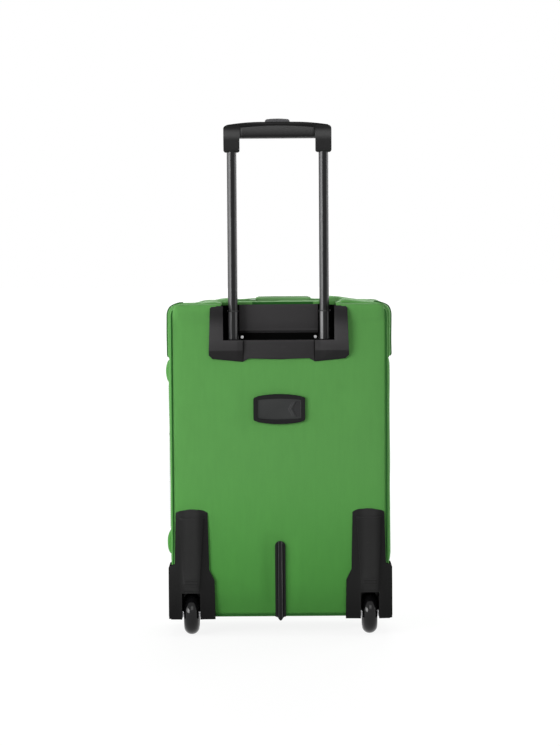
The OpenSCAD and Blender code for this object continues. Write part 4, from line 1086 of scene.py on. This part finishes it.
bedMesh = clothGrid(60, 86, liningFloor)
bedMesh.normal_update()
if sum(face.normal.y for face in bedMesh.faces) < 0:
    bmesh.ops.reverse_faces(bedMesh, faces=bedMesh.faces)
for part in (mesh, bedMesh):
    cutCorners(part, wheelBox["inner"] - lining["play"], wheelBox["front"] + lining["play"],
               wheelBox["top"] + lining["play"])
liningWalls = newPiece("liningWalls", mesh, "lining", "lining", "case", ["body_lining"])
thicken(liningWalls, lining["cloth"])
liningBed = newPiece("liningBed", bedMesh, "lining", "lining", "case")
thicken(liningBed, lining["cloth"])

lidInside = {"wider": 1.0120, "taller": 1.0006, "low": 0.0324, "sunk": 0.0034, "cloth": 0.0006}


def lidLiningPlace(along, across):
    spot = backPlace(along, across)
    spot.x *= lidInside["wider"]
    spot.z = lidInside["low"] + (spot.z - lidSheet["low"]) * lidInside["taller"]
    spot.y = case["front"] - lidInside["sunk"] + creases(spot, 0.05, 0.0003)
    return sagged(spot)


mesh = clothGrid(50, 70, lidLiningPlace)
bmesh.ops.reverse_faces(mesh, faces=mesh.faces)
lidLining = newPiece("lidLining", mesh, "lining", "lining", "lid", ["lid_lining"])
thicken(lidLining, lidInside["cloth"])

strapLow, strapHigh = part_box("packing_straps")
buckleLow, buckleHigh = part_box("strap_buckle")
packing = {"wide": 0.024, "inBuckle": 0.006, "lift": 0.0006, "waves": 9, "cloth": 0.0010}


def webPlace(middleX, low, high):
    def place(along, across):
        wave = packing["lift"] * math.sin(packing["waves"] * math.pi * along) ** 2
        return Vector((middleX + packing["wide"] * (across - 0.5), strapLow.y + packing["lift"] + wave,
                       low + (high - low) * along))
    return place


for label, side in (("Left", -1), ("Right", 1)):
    middleX = side * (strapHigh.x - packing["wide"] / 2)
    for part, low, high in (("Foot", strapLow.z, buckleLow.z + packing["inBuckle"]),
                            ("Head", buckleHigh.z - packing["inBuckle"], strapHigh.z)):
        mesh = clothGrid(60, 4, webPlace(middleX, low, high))
        strap = newPiece("packingStrap" + label + part, mesh, "webbing", "webbing", "case",
                         ["packing_straps"] if side < 0 and part == "Foot" else [])
        thicken(strap, packing["cloth"])
print("stage: lining and straps")

gripLow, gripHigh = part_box("grip")
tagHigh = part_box("tag_frame")[1]
cardLow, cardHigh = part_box("tag_card")
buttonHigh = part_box("release_button")[1]


def rounder(spot, x, z, wayX, wayZ, radius):
    # pulls the square corner at x, z in to a round one
    a, b = wayX * (spot.x - x) / radius + 1, wayZ * (spot.z - z) / radius + 1
    if a <= 0 or b <= 0 or a > 1.3 or b > 1.3:
        return spot
    a, b = min(a, 1), min(b, 1)
    return Vector((x + wayX * radius * (a * math.sqrt(1 - b * b / 2) - 1), spot.y,
                   z + wayZ * radius * (b * math.sqrt(1 - a * a / 2) - 1)))


def acrossCuts(*places):
    # planes at which a part's faces are divided, the same to the left and right
    return [(Vector((side * x, 0, 0)), Vector((1, 0, 0))) for x in places for side in (-1, 1)]


def heightCuts(*places):
    return [(Vector((0, 0, z)), upward) for z in places]


gripShape = {"legHalf": 0.0607, "outer": 0.0056, "top": 0.8204, "foot": 0.0036, "arch": 0.0012, "barrel": 0.16}
gripCuts = heightCuts(*[gripLow.z + 0.003 * step for step in range(1, 16)],
                      *[gripLow.z + step for step in (0.0004, 0.0013, 0.0023)], 0.8155, 0.8175, 0.8190, 0.8200)
gripCuts += acrossCuts(0.0612, 0.0620, 0.0631, 0.0643, 0.0720, 0.0806, 0.0822, 0.0836, 0.0848, 0.0857)


def gripForm(spot):
    # round corners, and a little deeper at the height of its bar than at the foot of its legs
    height = (spot.z - gripLow.z) / (gripHigh.z - gripLow.z)
    gripY = (gripLow.y + gripHigh.y) / 2
    y = gripY + (spot.y - gripY) * (1 - gripShape["barrel"] * abs(2 * height - 1.15) ** 2.2)
    lift = gripShape["arch"] * math.sin(math.pi * min(1, abs(spot.x) / gripHigh.x)) * smoothStep(0.806, 0.818, spot.z)
    spot = Vector((spot.x, y, spot.z + lift))
    for side in (-1, 1):
        spot = rounder(spot, side * gripHigh.x, gripShape["top"], side, 1, gripShape["outer"])
        spot = rounder(spot, side * gripHigh.x, gripLow.z, side, -1, gripShape["foot"])
        spot = rounder(spot, side * gripShape["legHalf"], gripLow.z, -side, -1, gripShape["foot"])
    return spot


tag = {"low": 0.3477, "high": 0.3863, "round": 0.0040, "slotPlayZ": 0.0008, "slotPlayY": 0.0006}
tagCuts = acrossCuts(0.0375, 0.0386, 0.0396, 0.0405, 0.0411)
tagCuts += heightCuts(0.3481, 0.3487, 0.3496, 0.3506, 0.3517, 0.3823, 0.3834, 0.3844, 0.3853, 0.3859)


def tagForm(spot):
    inSlot = (cardLow.z - tag["slotPlayZ"] < spot.z < cardHigh.z + tag["slotPlayZ"]
              and cardLow.y - tag["slotPlayY"] < spot.y < cardHigh.y + tag["slotPlayY"])
    if inSlot:  # the way of the card stays open
        return spot
    for side in (-1, 1):
        for end, z in ((-1, tag["low"]), (1, tag["high"])):
            spot = rounder(spot, side * tagHigh.x, z, side, end, tag["round"])
    return spot


buttonCuts = [(Vector((0.002 * step, 0, 0)), Vector((1, 0, 0))) for step in range(-9, 10)]


def domed(spot):
    # the button's top is arched and narrows upwards
    high = smoothStep(buttonHigh.z - 0.0065, buttonHigh.z, spot.z)
    return Vector((spot.x * (1.06 - 0.05 * high), spot.y, spot.z - 0.0013 * high * (spot.x / buttonHigh.x) ** 2))


housing = {"rollBack": 0.0030, "rollDown": 0.0012, "bow": 0.0012, "panelHalf": 0.0640, "wallHalf": 0.0893, "top": 0.530}
housingCuts = heightCuts(0.4740, 0.4800, 0.4900, 0.5000, 0.5100, 0.5180, 0.5240, 0.5280, 0.5310)
housingCuts += acrossCuts(0.0960, 0.1010, 0.1080, 0.1200)


def housingForm(spot):
    # the frames beside the recess bow out a little, and roll back under the fabric's edge
    away = abs(spot.x)
    atFrame = smoothStep(0.064, 0.069, away)
    roll = atFrame * smoothStep(0.524, 0.534, spot.z)
    back = housing["rollBack"] * roll * smoothStep(0.524, 0.534, spot.z)
    bow = housing["bow"] * smoothStep(0.4665, 0.474, spot.z)
    bow *= smoothStep(0.0915, 0.100, away) * smoothStep(0.1405, 0.120, away)
    nearBack = 1 - smoothStep(case["back"] - 0.002, case["back"] + 0.004, spot.y)
    return Vector((spot.x, spot.y + (back - bow) * nearBack, spot.z - housing["rollDown"] * roll))


def insideRecess(spot, way):
    # faces painted in near-black shade: the recess's walls and the frames' own tops, which the light grazes, but not
    # the raised panel between the tubes
    if way.z > 0.8 and spot.z > housing["top"]:
        return True
    away, height = abs(spot.x), spot.z - recess["floor"]
    inside = away < housing["wallHalf"] and height > 0.0022 and spot.y > case["back"] + 0.002
    return inside and not (away < housing["panelHalf"] and height > 0.012)


wheelTop = {"tongueFlat": -0.0979, "flank": 0.0028, "arch": 0.0022, "raised": 0.0026}
wheelTopCuts = acrossCuts(0.124, 0.129, 0.134, 0.154, 0.159, 0.164)
wheelTopCuts += heightCuts(0.150, 0.160, 0.170, 0.180, 0.188, 0.195, 0.199, 0.203)


def wheelTopForm(spot):
    # the tongue grows out of the housing's arched top, and the flanks beside it fall away towards their outer edges
    flat = wheelTop["tongueFlat"]
    fade = smoothStep(0.150, 0.1925, spot.z)
    y = spot.y if spot.y > flat else flat + (spot.y - flat) * (1 - fade)
    atBack = 1 - smoothStep(case["back"] - 0.0060, case["back"] - 0.0010, y)
    away = abs(abs(spot.x) - wheelBox["middle"])
    y += wheelTop["flank"] * atBack * smoothStep(0.010, 0.026, away)
    y += wheelTop["arch"] * atBack * smoothStep(0.192, 0.206, spot.z)
    raised = wheelTop["raised"] * smoothStep(0.008, 0.024, away) * smoothStep(0.188, 0.200, spot.z)
    return Vector((spot.x, y, spot.z + raised))


def wingTop(spot, way):
    # the top of the wheel box's outer wing, which the light grazes, painted in near-black shade
    return way.z > 0.6 and spot.z < 0.150 and abs(spot.x) > 0.160


chevron = {"tip": 0.0205, "wing": 0.0270, "end": 0.0345, "half": 0.0118, "lines": (0.0030, 0.0056), "thick": 0.0008,
           "proud": 0.0005, "edge": 0.0002}


def pointedRecess(spot, way):
    return cardLow.y + 0.0004 < spot.y < cardLow.y + 0.0011 and chevron["tip"] < spot.x < chevron["end"]


skid = {"narrow": 0.94, "lines": 0.0030, "flange": 0.0024, "bead": 0.0007, "lift": 0.0036,
        "low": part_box("skid_bar")[0].z}
skidCuts = acrossCuts(0.0010, 0.0018, 0.0023, 0.0027, 0.0030, 0.0033, 0.0037, 0.0044, 0.0050, 0.0056, 0.0064, 0.0072,
                      0.0082)
skidCuts += heightCuts(*[skid["low"] + step for step in (0.0001, 0.003, 0.006, 0.009, 0.012)])


def skidForm(spot):
    # a ridge with a fine bead along each of its sides stands on a lower flange, and reaches below it in a point
    away = abs(spot.x)
    nearBack = 1 - smoothStep(case["back"] - 0.0045, case["back"] - 0.0010, spot.y)
    bead = math.exp(-((away - skid["lines"]) / 0.0006) ** 2)
    ridge = skid["flange"] * smoothStep(0.0036, 0.0056, away) + skid["bead"] * (1 - bead)
    lift = skid["lift"] * smoothStep(0.0010, 0.0058, away) * (1 - smoothStep(skid["low"], skid["low"] + 0.012, spot.z))
    return Vector((spot.x * skid["narrow"], spot.y + ridge * nearBack, spot.z + lift))


# painted highlight: the faces along each fine bead take a paler moulding, standing in for light caught on the ridge
def skidBeadHighlight(spot, way):
    away = abs(spot.x) / skid["narrow"]
    return skid["lines"] - 0.0004 < away < skid["lines"] + 0.0004 and spot.y < case["back"] - 0.004


wireCuts = acrossCuts(0.118, 0.122, 0.126, 0.130, 0.134, 0.138, 0.142, 0.150)
wheelTopWork = {"shape": wheelTopForm, "cuts": wheelTopCuts, "marked": wingTop}
for look, slot, width, more, names in (
        ("housing", "moulding", 0.0011, {"shape": housingForm, "cuts": housingCuts, "marked": insideRecess},
         "trolley_housing"),
        ("wheelBox", "moulding", 0.0012, wheelTopWork, "wheel_housing_left wheel_housing_right"),
        ("grip", "moulding", 0.0013, {"shape": gripForm, "cuts": gripCuts}, "grip"),
        ("button", "gloss_moulding", 0.0010, {"shape": domed, "cuts": buttonCuts}, "release_button"),
        ("gloss", "moulding", 0.0004, {"shape": tagForm, "cuts": tagCuts}, "tag_frame"),
        ("card", "gloss_moulding", 0.0003, {"marked": pointedRecess, "markedLook": "moulding"}, "tag_card"),
        ("gloss", "moulding", 0.0003, {"shape": skidForm, "cuts": skidCuts, "marked": skidBeadHighlight,
                                       "markedLook": "button"}, "skid_bar"),
        ("steel", "steel", 0.0001, {"shape": sagged, "cuts": wireCuts}, "rim_wire"),
        ("moulding", "moulding", 0.0008, {}, "front_feet"),
        ("moulding", "moulding", 0.0005, {}, "tube_bracket strap_buckle"),
        ("card", "gloss_moulding", 0.0002, {}, "mid_collars"),
        ("gloss", "gloss_moulding", 0.0002, {}, "tube_bushings"),
        ("tyre", "tyre", 0.0010, {}, "tyre_left tyre_right"),
        ("hub", "hub", 0.0005, {}, "hub_left hub_right"),
        ("zipMetal", "zip_metal", 0.0004, {}, "upper_slider lower_slider low_pocket_slider top_pocket_slider"),
        ("gloss", "gloss_moulding", 0.0003, {}, "upper_pull lower_pull low_pocket_pull top_pocket_pull")):
    for node in names.split():
        bevelled(node, look, slot, width, **more)

gripInsert = {"columns": 70, "rows": 56, "crown": 0.0034, "rib": 0.00016, "ribs": 9, "drop": 0.0032, "sunk": 0.0016,
              "wider": 0.0008, "taller": 0.0012, "cloth": 0.0006}
insertLow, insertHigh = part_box("grip_insert")


def insertPlace(along, across):
    # the insert's skin: a shallow barrel with fine ribs, arched along its top like the bar
    x = (insertHigh.x + gripInsert["wider"]) * (2 * along - 1)
    top = insertHigh.z - gripInsert["drop"] * (2 * along - 1) ** 2 + gripInsert["taller"]
    z = insertLow.z + (top - insertLow.z) * across
    barrel = math.sqrt(max(0, 1 - (2 * across - 1) ** 2))
    ends = smoothStep(0, 0.0025, insertHigh.x - abs(x))
    rib = gripInsert["rib"] * math.sin(2 * math.pi * gripInsert["ribs"] * across) * ends
    proud = (gripInsert["crown"] + rib) * barrel * ends - gripInsert["sunk"] * (1 - ends)
    return Vector((x, insertHigh.y - 0.0006 - proud, z))


mesh = clothGrid(gripInsert["columns"], gripInsert["rows"], insertPlace, middle=Vector((0, 0, insertLow.z)))
insertSkin = newPiece("insertSkin", mesh, "insert", "gloss_moulding", nodes["grip_insert"]["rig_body"],
                      ["grip_insert"], mapped=False)
thicken(insertSkin, gripInsert["cloth"])

tagMiddle = (cardLow.z + cardHigh.z) / 2
mesh = bmesh.new()
for away in chevron["lines"]:  # two raised grip lines beside the pointed recess
    for side in (-1, 1):
        start = Vector((chevron["tip"] - away, cardLow.y, tagMiddle))
        end = Vector((chevron["wing"] - away, cardLow.y, tagMiddle + side * chevron["half"]))
        along = (end - start).normalized()
        turn = Matrix((along, frontward, along.cross(frontward))).transposed().to_4x4()
        size = ((end - start).length, 2 * chevron["proud"], chevron["thick"])
        block(mesh, (start + end) / 2, size, turn, chevron["edge"], 2)
newPiece("cardLines", mesh, "button", "gloss_moulding", "name_tag", mapped=False)

for look, names in (("board", "back_board"), ("plainTube", "outer_tubes"), ("midTube", "mid_tubes"),
                    ("innerTube", "inner_tubes"), ("gloss", "mid_plugs inner_plugs"),
                    ("steel", "case_screws grip_pins button_spring release_linkage lock_pins bearings_left"
                              " bearings_right axles")):
    for node in names.split():
        nodes[node].data.materials.clear()
        nodes[node].data.materials.append(looks[look])
print("stage: mouldings, tubes and wheels")
